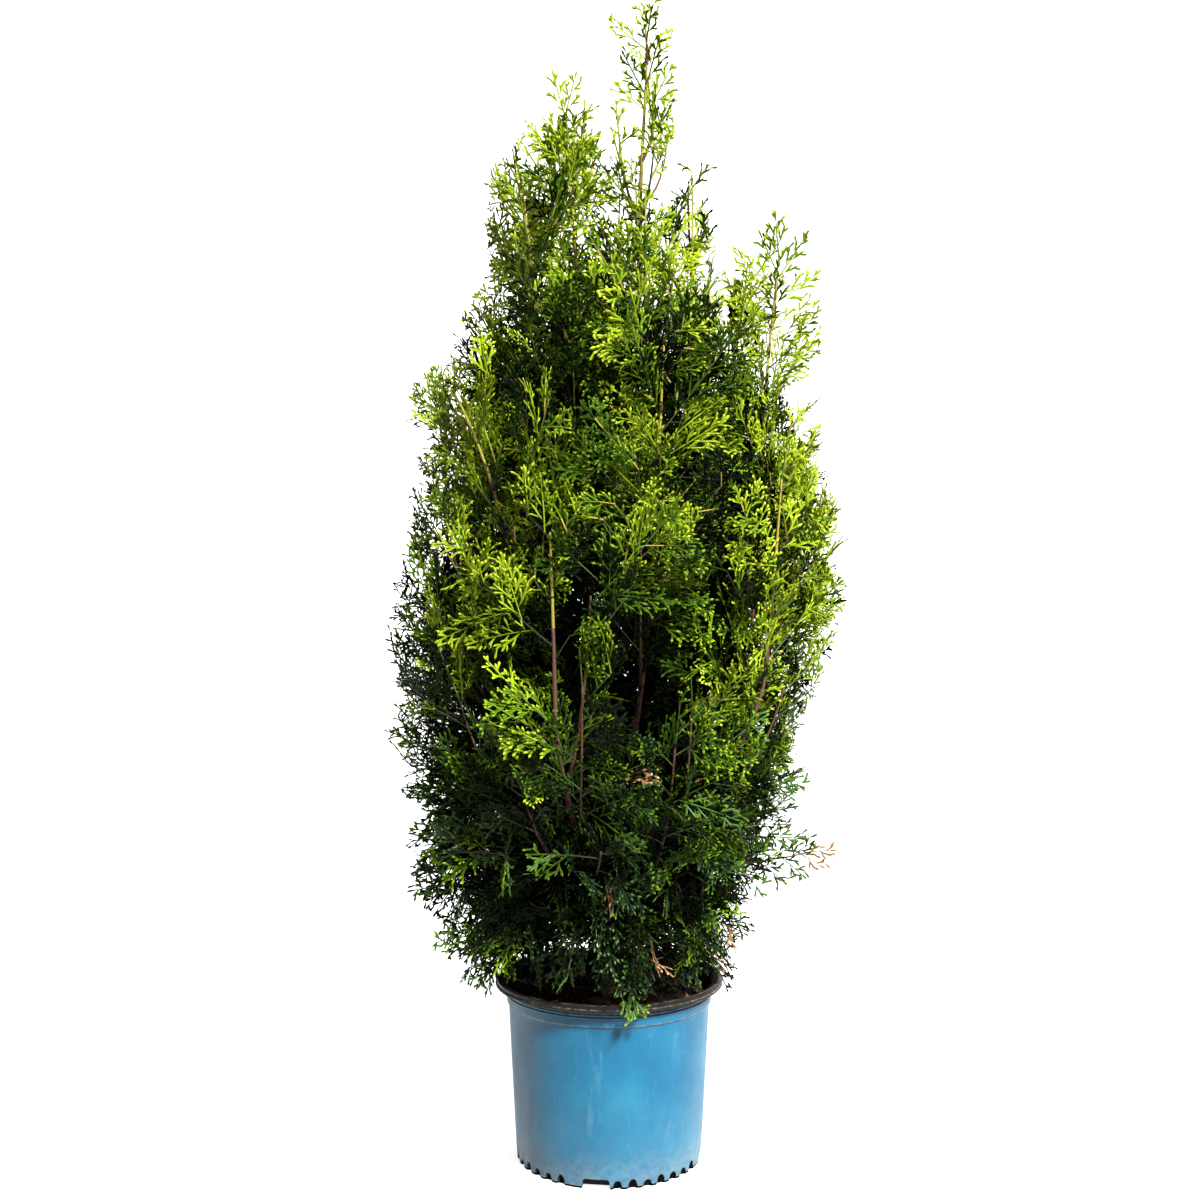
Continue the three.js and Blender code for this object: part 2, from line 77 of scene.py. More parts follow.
# Adds a shader node. Settings go to its properties or sockets, and links come from other nodes' outputs.
def addNode(material, kind, settings=None, links=None):
    tree = material.node_tree
    node = tree.nodes.new("ShaderNode" + kind)
    for key, value in (settings or {}).items():
        if isinstance(key, str) and hasattr(node, key):
            setattr(node, key, value)
        else:
            node.inputs[key].default_value = value
    link(material, node, links or {})
    return node


# A new material with its shader's own values set.
def newMaterial(name, settings):
    material = bpy.data.materials.new(name)
    material.use_nodes = True
    shader = material.node_tree.nodes["Principled BSDF"]
    for key, value in settings.items():
        shader.inputs[key].default_value = value
    return material, shader


# Links outputs to the sockets of a node, by their names.
def link(material, node, outputs):
    for key, output in outputs.items():
        material.node_tree.links.new(output, node.inputs[key])


# Sets the stops of a colour ramp. Each has its position and a grey from 0 to 1 or a hex colour.
def rampStops(node, stops):
    elements = node.color_ramp.elements
    while len(elements) < len(stops):
        elements.new(0.5)
    for element, (position, color) in zip(elements, stops):
        element.position = position
        element.color = linear(color) if isinstance(color, str) else [color, color, color, 1]


# A mesh object from arrays in millimetres: faces are rows of equal length, with a material number each.
def meshObject(name, vertices, faces, materials, materialNumbers=None, smooth=False):
    mesh = bpy.data.meshes.new(name)
    corners = faces.shape[1]
    mesh.vertices.add(len(vertices))
    mesh.vertices.foreach_set("co", (np.asarray(vertices) * mm).astype(np.float32).ravel())
    mesh.loops.add(len(faces) * corners)
    mesh.loops.foreach_set("vertex_index", np.asarray(faces, np.int32).ravel())
    mesh.polygons.add(len(faces))
    mesh.polygons.foreach_set("loop_start", np.arange(0, len(faces) * corners, corners, dtype=np.int32))
    for material in materials:
        mesh.materials.append(material)
    if materialNumbers is not None:
        mesh.polygons.foreach_set("material_index", np.asarray(materialNumbers, np.int32))
    mesh.polygons.foreach_set("use_smooth", np.full(len(faces), smooth))
    mesh.update(calc_edges=True)
    mesh.validate()
    made = bpy.data.objects.new(name, mesh)
    bpy.context.scene.collection.objects.link(made)
    return made


def evenTurns(count):
    return np.arange(count) * 2 * math.pi / count


# The faces of a wall of rings with the same number of sides, two to each of its fields.
def wallFaces(rings, sides):
    i, s = np.meshgrid(np.arange(rings - 1), np.arange(sides), indexing="ij")
    a, b = (i * sides + s).ravel(), (i * sides + (s + 1) % sides).ravel()
    return np.concatenate([np.stack([a, b, b + sides], 1), np.stack([a, b + sides, a + sides], 1)])


# The same wall closed by a fan at each end. The middle points of the foot's and the top's follow the rings.
def turnedFaces(rings, sides):
    s = np.arange(sides)
    following, last = (s + 1) % sides, (rings - 1) * sides
    return np.concatenate([
        wallFaces(rings, sides),
        np.stack([following, s, np.full(sides, rings * sides)], 1),
        np.stack([last + s, last + following, np.full(sides, rings * sides + 1)], 1),
    ])


# Puts a finished piece on the plant's body in place of its frame nodes.
def dress(piece, slot, *nodes):
    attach(piece, "root")
    if nodes:
        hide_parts(*nodes)


# Limbs as in the frame: the trunk's line, then the height where each bough leaves it, its tip, its bend and
# its radius at the foot.
potHeight = 220
lipRadius = 140
mixTop = 197
mixCrown = 4
soilLevel = mixTop + mixCrown + 0.3
trunkShape = {
    "line": [
        [0, 0, soilLevel - 8], [2, 2, 430], [3, 4, 700], [10, 2, 880], [36, -4, 1066], [38, -2, 1165],
        [47, 0, 1345],
    ],
    "foot": 14, "tip": 1.7, "taper": 1.35, "flare": 7, "flareShare": 0.045,
}
boughShapes = {
    "bough_tall_left": [372, [-38, 42, 985], 1.5, 6.4],
    "bough_mid_left": [318, [-84, -70, 905], 1.6, 6.8],
    "bough_tall_right": [400, [100, 34, 900], 1.4, 5.6],
    "bough_far_right": [286, [186, -28, 830], 1.6, 6.8],
    "bough_inner_right": [346, [146, 52, 800], 1.7, 5.4],
    "bough_leaning_left": [300, [-116, -118, 720], 1.2, 6.0],
    "bough_far_left": [262, [-200, 30, 690], 1.5, 5.8],
    "bough_front": [332, [52, -136, 740], 1.3, 5.6],
    "bough_front_left": [272, [-60, -196, 560], 1.5, 5.2],
    "bough_front_right": [278, [176, -150, 600], 1.4, 5.6],
    "bough_back": [296, [-6, 160, 830], 1.8, 6.2],
    "bough_back_right": [310, [150, 180, 640], 1.5, 5.4],
    "bough_back_left": [334, [-128, 160, 700], 1.5, 5.6],
}
boughRule = {"tip": 1.8, "taper": 1.1}
limbSamples = 40

trunkPoints = np.array(trunkShape["line"], float)


# One point of the smooth curve through the trunk's points.
def trunkCurve(t):
    last = len(trunkPoints) - 1
    at = t * last
    i = min(int(at), last - 1)
    weight = at - i
    before = trunkPoints[i - 1] if i > 0 else 2 * trunkPoints[0] - trunkPoints[1]
    after = trunkPoints[i + 2] if i + 2 <= last else 2 * trunkPoints[last] - trunkPoints[last - 1]
    a, b = trunkPoints[i], trunkPoints[i + 1]
    pairs = ((before, a), (a, b), (b, after))
    step0, step1, step2 = (max(np.dot(q - p, q - p) ** 0.25, 1e-4) for p, q in pairs)
    slopeA = ((a - before) / step0 - (b - before) / (step0 + step1) + (b - a) / step1) * step1
    slopeB = ((b - a) / step1 - (after - a) / (step1 + step2) + (after - b) / step2) * step1
    return (
        a
        + slopeA * weight
        + (-3 * a + 3 * b - 2 * slopeA - slopeB) * weight**2
        + (2 * a - 2 * b + slopeA + slopeB) * weight**3
    )


curveSteps = 200
curvePoints = np.array([trunkCurve(i / curveSteps) for i in range(curveSteps + 1)])
curveLengths = np.concatenate([[0], np.cumsum(np.linalg.norm(np.diff(curvePoints, axis=0), axis=1))])


def trunkAt(share):
    return trunkCurve(np.interp(share * curveLengths[-1], curveLengths, np.linspace(0, 1, curveSteps + 1)))


def trunkAtHeight(height):
    foot, top = trunkPoints[0][2], trunkPoints[-1][2]
    share = (height - foot) / (top - foot)
    for _ in range(12):
        share += (height - trunkAt(share)[2]) / (top - foot)
    return trunkAt(share)


def trunkRadius(share):
    taper = (trunkShape["foot"] - trunkShape["tip"]) * (1 - share) ** trunkShape["taper"]
    flare = trunkShape["flare"] * max(0, 1 - share / trunkShape["flareShare"]) ** 2
    return trunkShape["tip"] + taper + flare


def boughLimb(leaves, tip, bend, foot):
    start = trunkAtHeight(leaves)

    def pointAt(share):
        outward = 1 - (1 - share) ** bend
        return start + (tip - start) * np.array([outward, outward, share])

    def radiusAt(share):
        return boughRule["tip"] + (foot - boughRule["tip"]) * (1 - share) ** boughRule["taper"]

    return pointAt, radiusAt


limbs = {"trunk": (trunkAt, trunkRadius)}
for boughName, boughShape in boughShapes.items():
    limbs[boughName] = boughLimb(*boughShape)
limbNames = list(limbs)
limbShares = np.linspace(0, 1, limbSamples + 1)
limbPoints = np.array([[pointAt(share) for share in limbShares] for pointAt, _ in limbs.values()])
limbRadii = np.array([[radiusAt(share) for share in limbShares] for _, radiusAt in limbs.values()])


# The distance from each point to the skin of each limb.
def limbGaps(points):
    apart = np.linalg.norm(points[:, None, None, :] - limbPoints[None], axis=-1)
    return (apart - limbRadii[None]).min(axis=-1)


# Crown: how far the foliage reaches to the left and right of the pot's axis, by height.
crown = {
    "heights": [190, 240, 340, 400, 530, 640, 710, 845, 940, 1000, 1080, 1200, 1290, 1424],
    "left": [150, 205, 246, 252, 281, 277, 266, 240, 249, 192, 150, 152, 90, 80],
    "right": [150, 170, 200, 226, 246, 285, 304, 296, 262, 262, 262, 240, 90, 80],
    "top": 1424,
    "depthShare": 0.92,
    "axis": [10, 0],
}


def crownReach(height):
    return (np.interp(height, crown["heights"], crown[side]) for side in ("left", "right"))


# Where points are in the crown: 0 at its axis and 1 at its edge.
def crownShare(points):
    left, right = crownReach(points[..., 2])
    across = points[..., 0] / np.where(points[..., 0] < 0, left, right)
    return np.hypot(across, points[..., 1] / ((left + right) / 2 * crown["depthShare"]))


# Clefts: dark upright furrows between the plumes, where the foliage stands back, and a hollow at the front.
clefts = {
    "count": 11, "depth": 0.24, "wander": 0.5, "sharpness": 3, "clumps": 0.09,
    "from": 215, "over": 90, "below": 1020,
    "hollow": {"x": 22, "z": 640, "wide": 62, "tall": 230, "depth": 0.08},
}

# Outlines across and up in millimetres, as seen from the front: the sky between plumes, then the pot's lip.
skyGaps = [
    [[147, 1008], [137, 1078], [127, 1150], [122, 1222], [78, 1226], [84, 1424], [340, 1424], [340, 1174],
     [196, 1172], [180, 1128], [154, 1078], [152, 1029]],
    [[70, 1160], [44, 1200], [78, 1228], [97, 1208]],
    [[-8, 1200], [-36, 1330], [-160, 1338], [-160, 1440], [6, 1440], [4, 1285]],
    [[-142, 221], [-100, 206], [-66, 198], [-60, 186], [-14, 183], [0, 191], [50, 193], [100, 206],
     [142, 224], [142, 150], [-142, 150]],
]


def cleftEdge(points):
    x, y, z = points[..., 0] - crown["axis"][0], points[..., 1], points[..., 2]
    turn = np.arctan2(y, x)
    wander = clefts["wander"] * (np.sin(z / 97 + 2 * turn) + 0.7 * np.sin(z / 53 + 3 * turn + 1))
    wave = 0.5 + 0.5 * np.cos(clefts["count"] * turn + wander * 2.2 + 0.6)
    strength = 0.65 + 0.35 * np.sin(z / 131 + 5 * turn)
    shown = (z < clefts["below"]) * np.clip((z - clefts["from"]) / clefts["over"], 0, 1)
    furrow = clefts["depth"] * wave ** clefts["sharpness"] * strength * shown
    clump = np.sin(13 * turn + z / 43 + 1.6 * np.sin(z / 67)) * np.sin(z / 31 + 5 * turn + 2)
    hollow = clefts["hollow"]
    away = ((points[..., 0] - hollow["x"]) / hollow["wide"]) ** 2 + ((z - hollow["z"]) / hollow["tall"]) ** 2
    dip = hollow["depth"] * np.exp(-away) * (y < 0)
    return 1 - furrow - clefts["clumps"] * (0.5 + 0.5 * clump) - dip


def inSkyGap(points):
    scale = camera["distance"] / (camera["distance"] + points[..., 1])
    across = points[..., 0] * scale
    up = camera["height"] + (points[..., 2] - camera["height"]) * scale
    inside = np.zeros(points.shape[:-1], bool)
    for outline in skyGaps:
        within = np.zeros(points.shape[:-1], bool)
        for (x1, z1), (x2, z2) in zip(outline, outline[1:] + outline[:1]):
            if z1 != z2:
                crosses = (up > min(z1, z2)) & (up <= max(z1, z2))
                within ^= crosses & (across < x1 + (x2 - x1) * (up - z1) / (z2 - z1))
        inside |= within
    return inside


# Masses: plumes that go on from the limbs' tips, spires round the upper trunk, and tiers round the limbs. A
# plume's row has its tip and its spread.
plumes = {
    "trunk": [[44, 0, 1400], 50],
    "bough_tall_left": [[-58, 36, 1300], 66],
    "bough_mid_left": [[-112, -46, 1225], 84],
    "bough_tall_right": [[106, 34, 1180], 60],
    "bough_far_right": [[210, -24, 1110], 76],
    "bough_inner_right": [[158, 54, 1075], 66],
    "bough_leaning_left": [[-186, -112, 935], 90],
    "bough_far_left": [[-208, 34, 925], 90],
    "bough_front": [[62, -138, 975], 90],
    "bough_front_left": [[-66, -204, 765], 95],
    "bough_front_right": [[196, -138, 820], 95],
    "bough_back": [[-10, 158, 1060], 90],
    "bough_back_right": [[166, 176, 860], 95],
    "bough_back_left": [[-150, 166, 905], 95],
}
spires = [
    {"leaves": 1000, "turn": 250, "out": 44, "rise": 96, "spread": 60},
    {"leaves": 1085, "turn": 70, "out": 34, "rise": 92, "spread": 50},
    {"leaves": 1150, "turn": 205, "out": 26, "rise": 88, "spread": 44},
    {"leaves": 1225, "turn": 350, "out": 22, "rise": 84, "spread": 40},
]
tierKeys = ["height", "count", "turn", "share", "climb", "droop", "spread"]
tiers = {
    "foliage_skirt": [330, 7, 14, 0.8, 90, 0.45, 130],
    "foliage_lower": [500, 7, 40, 0.8, 190, 0.1, 130],
    "foliage_middle": [680, 7, 12, 0.8, 220, -0.1, 130],
    "foliage_inner": [900, 4, 62, 0.46, 220, -0.2, 110],
}
withered = {"tip": [260, -40, 384], "climb": 66, "spread": 42, "edge": 1.36}
stemRule = {
    "sweep": 0.5, "spireSweep": 0.4, "steps": 6, "foot": 2.6, "tip": 1.2, "clearance": 0.4, "keepApart": 2.4,
    "checks": 14, "rootRoom": 22, "fromLimbs": 9, "fromStems": 14, "climbCost": 1.5, "choices": 220,
    "farFromLimb": 45, "farFromPlume": 30, "lastShare": 0.93, "lowest": mixTop + 30,
}
masses = []


# A fixed random number from 0 to 1 for each pair of counts, as in the frame.
def chance(a, b):
    wave = math.sin(a * 12.9898 + b * 78.233 + 4.137) * 43758.5453
    return wave - math.floor(wave)


def curvedLine(start, middle, end):
    t = np.linspace(0, 1, stemRule["steps"] + 1)[:, None]
    return start * (1 - t) ** 2 + 2 * middle * t * (1 - t) + end * t**2


# A stem that sets out level and ends upright.
def stemLine(start, end, sweep):
    middle = (start + end) / 2
    middle[:2] += (end[:2] - middle[:2]) * sweep
    middle[2] += (start[2] - middle[2]) * sweep
    return curvedLine(start, middle, end)


def alongLine(line, share):
    steps = len(line) - 1
    at = min(steps - 1e-6, max(0, share * steps))
    i = int(at)
    return line[i] + (line[i + 1] - line[i]) * (at - i)


# The distance from each point to each line.
def lineGaps(points, lines):
    a = lines[:, :-1].reshape(-1, 3)
    b = lines[:, 1:].reshape(-1, 3) - a
    fromA = points[:, None, :] - a[None]
    share = np.clip((fromA * b).sum(-1) / (b * b).sum(-1), 0, 1)
    apart = np.linalg.norm(fromA - b[None] * share[..., None], axis=-1)
    return apart.reshape(len(points), len(lines), -1).min(axis=-1)


def addMass(name, line, spread, terminal=False, core=False, droop=0.0, edge=1.0):
    masses.append({
        "name": name, "line": line, "spread": spread, "terminal": terminal,
        "core": core, "droop": droop, "edge": edge,
    })


def plumeName(limbName):
    return "foliage_top" if limbName == "trunk" else limbName.replace("bough", "foliage")


for limbName, (plumeTip, plumeSpread) in plumes.items():
    pointAt = limbs[limbName][0]
    limbEnd = pointAt(1)
    onward = unit(limbEnd - pointAt(0.99))
    plumeStart = limbEnd + onward * stemRule["clearance"]
    plumeEnd = np.array(plumeTip, float)
    plumeMiddle = plumeStart + onward * np.linalg.norm(plumeEnd - plumeStart) / 2
    plumeLine = curvedLine(plumeStart, plumeMiddle, plumeEnd)
    addMass(plumeName(limbName), plumeLine, plumeSpread, terminal=True)

for spireNumber, spire in enumerate(spires):
    spireStart = trunkAtHeight(spire["leaves"])
    spireTurn = math.radians(spire["turn"])
    level = [math.cos(spireTurn) * spire["out"], math.sin(spireTurn) * spire["out"]]
    spireLine = stemLine(spireStart, spireStart + np.array([*level, spire["rise"]]), stemRule["spireSweep"])
    addMass(f"foliage_spire_{spireNumber + 1}", spireLine, spire["spread"])


def isClear(line, own, start, startRadius, rule):
    points = np.array([alongLine(line, i / stemRule["checks"]) for i in range(stemRule["checks"] + 1)])
    gaps = limbGaps(points)
    nearRoot = np.linalg.norm(points - start, axis=1) < startRadius * 2 + stemRule["rootRoom"]
    others = lineGaps(points, np.array([mass["line"] for mass in masses])).min(axis=1)
    if own < 0:
        others[nearRoot] = np.inf
    else:
        gaps[nearRoot, own] = np.inf
    return gaps.min() >= rule["fromLimbs"] and others.min() >= rule["fromStems"]


# The stem that rises to the target from a point about its climb lower, clear of all else. The point is on a
# limb, or on a plume's stem where those are allowed.
def bestStem(target, climb, rule=stemRule, fromPlumes=False):
    choices = []

    def offer(own, point, radius, farEnough):
        level = math.hypot(target[0] - point[0], target[1] - point[1])
        cost = level + stemRule["climbCost"] * abs(target[2] - point[2] - climb)
        if level > farEnough:
            choices.append((cost, own, point, radius))

    for mass in masses[:len(plumes)] if fromPlumes else []:
        for share in np.linspace(0.1, 0.85, 16):
            offer(-1, alongLine(mass["line"], share), 2, stemRule["farFromPlume"])
    for own in range(len(limbNames)):
        for share, point, radius in zip(limbShares, limbPoints[own], limbRadii[own]):
            if share < stemRule["lastShare"] and point[2] > stemRule["lowest"]:
                offer(own, point, radius, stemRule["farFromLimb"])
    for _, own, point, radius in sorted(choices, key=lambda choice: choice[0])[:stemRule["choices"]]:
        line = stemLine(point, target, stemRule["sweep"])
        if isClear(line, own, point, radius, rule):
            return line
    return None


def tierTarget(tier, row, i):
    turn = math.radians(tier["turn"] + 360 * (i + 0.35 * (chance(row, i) - 0.5)) / tier["count"])
    height = tier["height"] + 50 * (chance(row + 9, i) - 0.5)
    left, right = crownReach(height)
    side = left if math.cos(turn) < 0 else right
    depth = (left + right) / 2 * crown["depthShare"]
    return np.array([math.cos(turn) * side * tier["share"], math.sin(turn) * depth * tier["share"], height])


for row, (tierName, values) in enumerate(tiers.items()):
    tier = dict(zip(tierKeys, values))
    for i in range(tier["count"]):
        tierLine = bestStem(tierTarget(tier, row, i), tier["climb"])
        if tierLine is not None:
            addMass(f"{tierName}_{i + 1}", tierLine, tier["spread"], core=True, droop=tier["droop"])

witheredLine = bestStem(np.array(withered["tip"], float), withered["climb"])
addMass("foliage_withered", witheredLine, withered["spread"], edge=withered["edge"])
massNames = [mass["name"] for mass in masses]
massLines = np.array([mass["line"] for mass in masses])
frameMasses = len(masses)
witheredMass = massNames.index("foliage_withered")


def plumeOfLimb(limbName):
    return massNames.index(plumeName(limbName))


# The number of the mass whose stem ends nearest to a point.
def nearestMass(point):
    return int(np.linalg.norm(massLines[:, -1] - np.array(point), axis=1).argmin())


# Finer stems fill in between those, by the same rule but closer. Each belongs to the nearest mass.
fineRule = {"fromLimbs": 5, "fromStems": 6, "fromPlumesAbove": 900}
fineTiers = [
    [272, 10, 0, 0.74, 50, 0.55, 85],
    [410, 10, 20, 0.86, 120, 0.3, 90],
    [590, 10, 5, 0.86, 190, 0.05, 90],
    [770, 10, 30, 0.85, 200, -0.05, 90],
    [350, 6, 40, 0.42, 80, 0.3, 85],
    [500, 6, 10, 0.5, 120, 0.1, 90],
    [660, 6, 50, 0.52, 140, 0, 90],
    [850, 8, 15, 0.72, 160, -0.1, 90],
    [985, 7, 80, 0.62, 150, -0.15, 85],
    [1075, 7, 25, 0.6, 110, -0.2, 72],
    [1160, 6, 60, 0.6, 90, -0.25, 60],
    [1230, 5, 100, 0.55, 80, -0.3, 50],
]
for row, values in enumerate(fineTiers):
    tier = dict(zip(tierKeys, values))
    for i in range(tier["count"]):
        tierEnd = tierTarget(tier, row + 20, i)
        tierLine = bestStem(tierEnd, tier["climb"], fineRule, tier["height"] > fineRule["fromPlumesAbove"])
        if tierLine is not None:
            home = nearestMass(tierEnd)
            addMass(massNames[home], tierLine, tier["spread"], core=True, droop=tier["droop"])
            masses[-1]["home"] = home
print("stems placed:", frameMasses, "and", len(masses) - frameMasses, "finer")


# Branchlets: each flat blade of the frame becomes a twig with sprays to its left and right.
blade = {
    "length": 1.4,  # times the mass's spread
    "taper": 0.15,
    "middle": 0.42,
    "half": [[0.05, 0.14], [0.32, 0.5], [0.15, 0.47], [0.25, 0.82], [0.08, 0.75]],
    "sizes": [1, 0.9, 0.8, 0.7, 0.62, 0.54],
    "first": 0.3,
    "firstOnPlume": 0.06,
    "tries": 9,
    "spacing": 0.46,
    "splay": 46,
    "splayRange": 16,
    "lastSplay": 5,
    "roll": 1.2,
    "turns": [15, 165, 90],
    "turnRange": 60,
}
mirrored = [[-across, along] for across, along in reversed(blade["half"])]
bladeOutline = np.array([[0, 0], *blade["half"], [0, 1], *mirrored])
bladeMiddle = np.array([0, blade["middle"]])
bladeChecks = np.concatenate([bladeMiddle + (bladeOutline - bladeMiddle) * share for share in (1, 0.6)])


# What is near enough to each mass to matter: samples of the limbs, and segments of other masses' stems.
for own, mass in enumerate(masses):
    mass["home"] = mass.get("home", own)
    line = mass["line"][None]
    reach = mass["spread"] + stemRule["keepApart"] + 3
    flat = limbPoints.reshape(-1, 3)
    near = lineGaps(flat, line)[:, 0] - limbRadii.ravel() < reach
    mass["limbPoints"], mass["limbRadii"] = flat[near], limbRadii.ravel()[near]
    shares = np.linspace(0, 1, 13)
    samples = np.array([[alongLine(other, share) for share in shares] for other in massLines])
    apart = lineGaps(samples.reshape(-1, 3), line).reshape(frameMasses, -1).min(axis=1)
    rivals = apart < mass["spread"] * 2 + 20
    rivals[mass["home"]] = False
    mass["rivals"] = massLines[rivals]


# Whether points are in a mass's own space: nearer its stem than any other's, and clear of limbs and pot.
def inSpace(points, own, slack=0.0):
    mass = masses[own]
    ownGap = lineGaps(points, mass["line"][None])[:, 0]
    height = points[:, 2]
    fits = (ownGap <= mass["spread"]) & (crownShare(points) <= mass["edge"])
    fits &= (height <= crown["top"]) & (height >= mixTop + 14)
    fits &= ~((height < potHeight + 4) & (np.hypot(points[:, 0], points[:, 1]) < lipRadius + 6))
    if not fits.all():
        return fits
    apart = np.linalg.norm(points[:, None] - mass["limbPoints"][None], axis=-1) - mass["limbRadii"][None]
    free = apart.min(axis=1, initial=np.inf) >= stemRule["keepApart"] + 2 - slack / 6
    if len(mass["rivals"]):
        free &= lineGaps(points, mass["rivals"]).min(axis=1) >= ownGap + stemRule["keepApart"] - slack
    return fits & (free | (ownGap < stemRule["foot"] + 1))


def bladePoints(made, places):
    across, along = places[:, :1], places[:, 1:]
    return made["root"] + (made["side"] * across + made["ahead"] * along) * made["length"]


bladeCenter = np.array([[0, 0.55]])
bladeTips = np.array([[0, 0.4], [0, 0.75]])


def growBlade(own, k, count, grown, rule):
    mass = masses[own]
    first = blade["firstOnPlume"] if mass["terminal"] else blade["first"]
    share = first + (1 - first) * k / (count - 1)
    root = alongLine(mass["line"], share)
    along = unit(alongLine(mass["line"], share + 0.05) - alongLine(mass["line"], share - 0.05))
    away = unit(np.array([root[0] - crown["axis"][0], root[1] - crown["axis"][1], 0]))
    level = np.cross([0, 0, 1], away)
    splay = blade["splay"] + blade["splayRange"] * (chance(own, k + 50) - 0.5)
    lean = math.radians(blade["lastSplay"] if k == count - 1 else splay)
    roll = blade["roll"] * (chance(own, k + 90) - 0.5)
    full = blade["length"] * mass["spread"] * (1 - blade["taper"] * share)
    full *= 0.9 + 0.2 * chance(own, k + 130)
    for size in rule["sizes"]:
        for attempt in range(blade["tries"]):
            middleTurn = blade["turns"][(k + attempt) % 3]
            scatter = blade["turnRange"] * (chance(own, k * 7 + attempt + rule["seed"]) - 0.5)
            turn = math.radians(middleTurn + scatter)
            out = level * math.cos(turn) + away * math.sin(turn)
            ahead = along * math.cos(lean) + out * math.sin(lean)
            ahead[2] -= mass["droop"]
            ahead = unit(ahead)
            side = turned(unit(np.cross(away, ahead)), ahead, roll)
            made = {
                "root": root, "ahead": ahead, "side": side, "face": np.cross(side, ahead),
                "length": full * size, "mass": own, "share": share, "bush": mass["home"],
            }
            made["center"] = bladePoints(made, bladeCenter)[0]
            isApart = True
            if grown:
                centers = np.array([other["center"] for other in grown])
                lengths = np.array([other["length"] for other in grown])
                apart = np.linalg.norm(centers - made["center"], axis=1)
                isApart = (apart > rule["spacing"] * np.maximum(lengths, made["length"])).all()
            if isApart and inSpace(bladePoints(made, bladeChecks), own, rule["slack"]).all():
                return None if inSkyGap(bladePoints(made, bladeTips)).any() else made
    return None


# The first pass is the frame's own rule. The others fill in between those, apart from all branchlets so far.
bladePasses = [
    {"every": 15, "sizes": blade["sizes"], "spacing": blade["spacing"], "slack": 0, "seed": 0},
    {"every": 15, "sizes": [0.72, 0.6, 0.5], "spacing": 0.36, "slack": 30, "seed": 700},
    {"every": 14, "sizes": [0.95, 0.8, 0.62], "spacing": 0.34, "slack": 60, "seed": 300},
]
blades = []
for passNumber, bladePass in enumerate(bladePasses):
    for own, mass in enumerate(masses):
        if (own >= frameMasses) != (passNumber == 2):
            continue
        lineLength = np.linalg.norm(np.diff(mass["line"], axis=0), axis=1).sum()
        count = max(3, math.floor(lineLength / bladePass["every"] + 0.5))
        grown = []
        for k in range(count):
            made = growBlade(own, k, count, blades if passNumber else grown, bladePass)
            if made is not None:
                grown.append(made)
                if passNumber:
                    blades.append(made)
        if not passNumber:
            blades += grown
    print("branchlets:", len(blades), "mean length", round(np.mean([made["length"] for made in blades])))


# Short branchlets clothe each limb below its plume, from the height given up to its tip.
limbBlades = {
    "every": 13, "length": [52, 82], "lean": 42, "turnStep": 137.5, "last": 0.98, "samples": 200,
    "clear": 0.4, "share": 0.3, "sparseAbove": 1000, "sparser": 1.5,
    "from": {
        "trunk": 1010, "bough_tall_left": 850, "bough_mid_left": 700, "bough_tall_right": 760,
        "bough_far_right": 690, "bough_inner_right": 660, "bough_leaning_left": 590, "bough_far_left": 560,
        "bough_front": 600, "bough_front_left": 440, "bough_front_right": 480, "bough_back": 680,
        "bough_back_right": 520, "bough_back_left": 560,
    },
}
for limbName, lowest in limbBlades["from"].items():
    pointAt, radiusAt = limbs[limbName]
    bush = plumeOfLimb(limbName)
    sampleShares = np.linspace(0, 1, limbBlades["samples"])
    sampled = np.array([pointAt(share) for share in sampleShares])
    share = np.interp(lowest, sampled[:, 2], sampleShares)
    step = limbBlades["every"] / np.linalg.norm(np.diff(sampled, axis=0), axis=1).sum()
    turn = dice.uniform(0, 2 * math.pi)
    while share < limbBlades["last"]:
        turn += math.radians(limbBlades["turnStep"])
        along = unit(pointAt(min(share + 0.02, 1)) - pointAt(share - 0.02))
        level = unit(np.cross(along, [math.sin(turn), math.cos(turn), 0.1]))
        lean = math.radians(limbBlades["lean"] + 8 * dice.normal())
        ahead = unit(along * math.cos(lean) + level * math.sin(lean))
        side = turned(unit(np.cross(along, ahead)), ahead, 0.5 * dice.normal())
        made = {
            "root": pointAt(share) + level * (radiusAt(share) + limbBlades["clear"]), "ahead": ahead,
            "side": side, "face": np.cross(side, ahead), "length": dice.uniform(*limbBlades["length"]),
            "mass": bush, "share": limbBlades["share"], "bush": bush,
        }
        made["center"] = bladePoints(made, bladeCenter)[0]
        share += step * (limbBlades["sparser"] if made["root"][2] > limbBlades["sparseAbove"] else 1)
        ends = bladePoints(made, bladeTips)
        if not inSkyGap(ends).any() and (crownShare(ends) < 1).all():
            blades.append(made)
print("branchlets with those on the limbs:", len(blades))


# Sprays: flat fans of scale-leaf shoots. Each row has one value for each style, in millimetres and degrees.
sprayStyles = {
    "name": ["fan", "feather", "open", "bold", "airy", "coarse"],
    "pitch": [7.4, 7.4, 8.6, 9.4, 9.4, 11],
    "angle": [44, 44, 37, 39, 37, 44],
    "reach": [0.5, 0.42, 0.58, 0.56, 0.52, 0.5],
    "fork": [6.9, 7.6, 8.0, 8.4, 8.6, 11],
    "forkAngle": [34, 31, 30, 32, 30, 38],
    "shortest": [10, 12, 11, 11, 10, 12],
    "longest": [16, 19, 18, 18, 16, 20],
    "width": [3.0, 3.0, 3.0, 3.3, 3.3, 6.5],
}
frondRows = []


def addFrond(root, ahead, side, length, style, shade, mass, bend, radius, twig=-1, twigShare=0.0):
    number = sprayStyles["name"].index(style)
    frondRows.append((root, ahead, side, length, number, shade, mass, bend, radius, twig, twigShare))


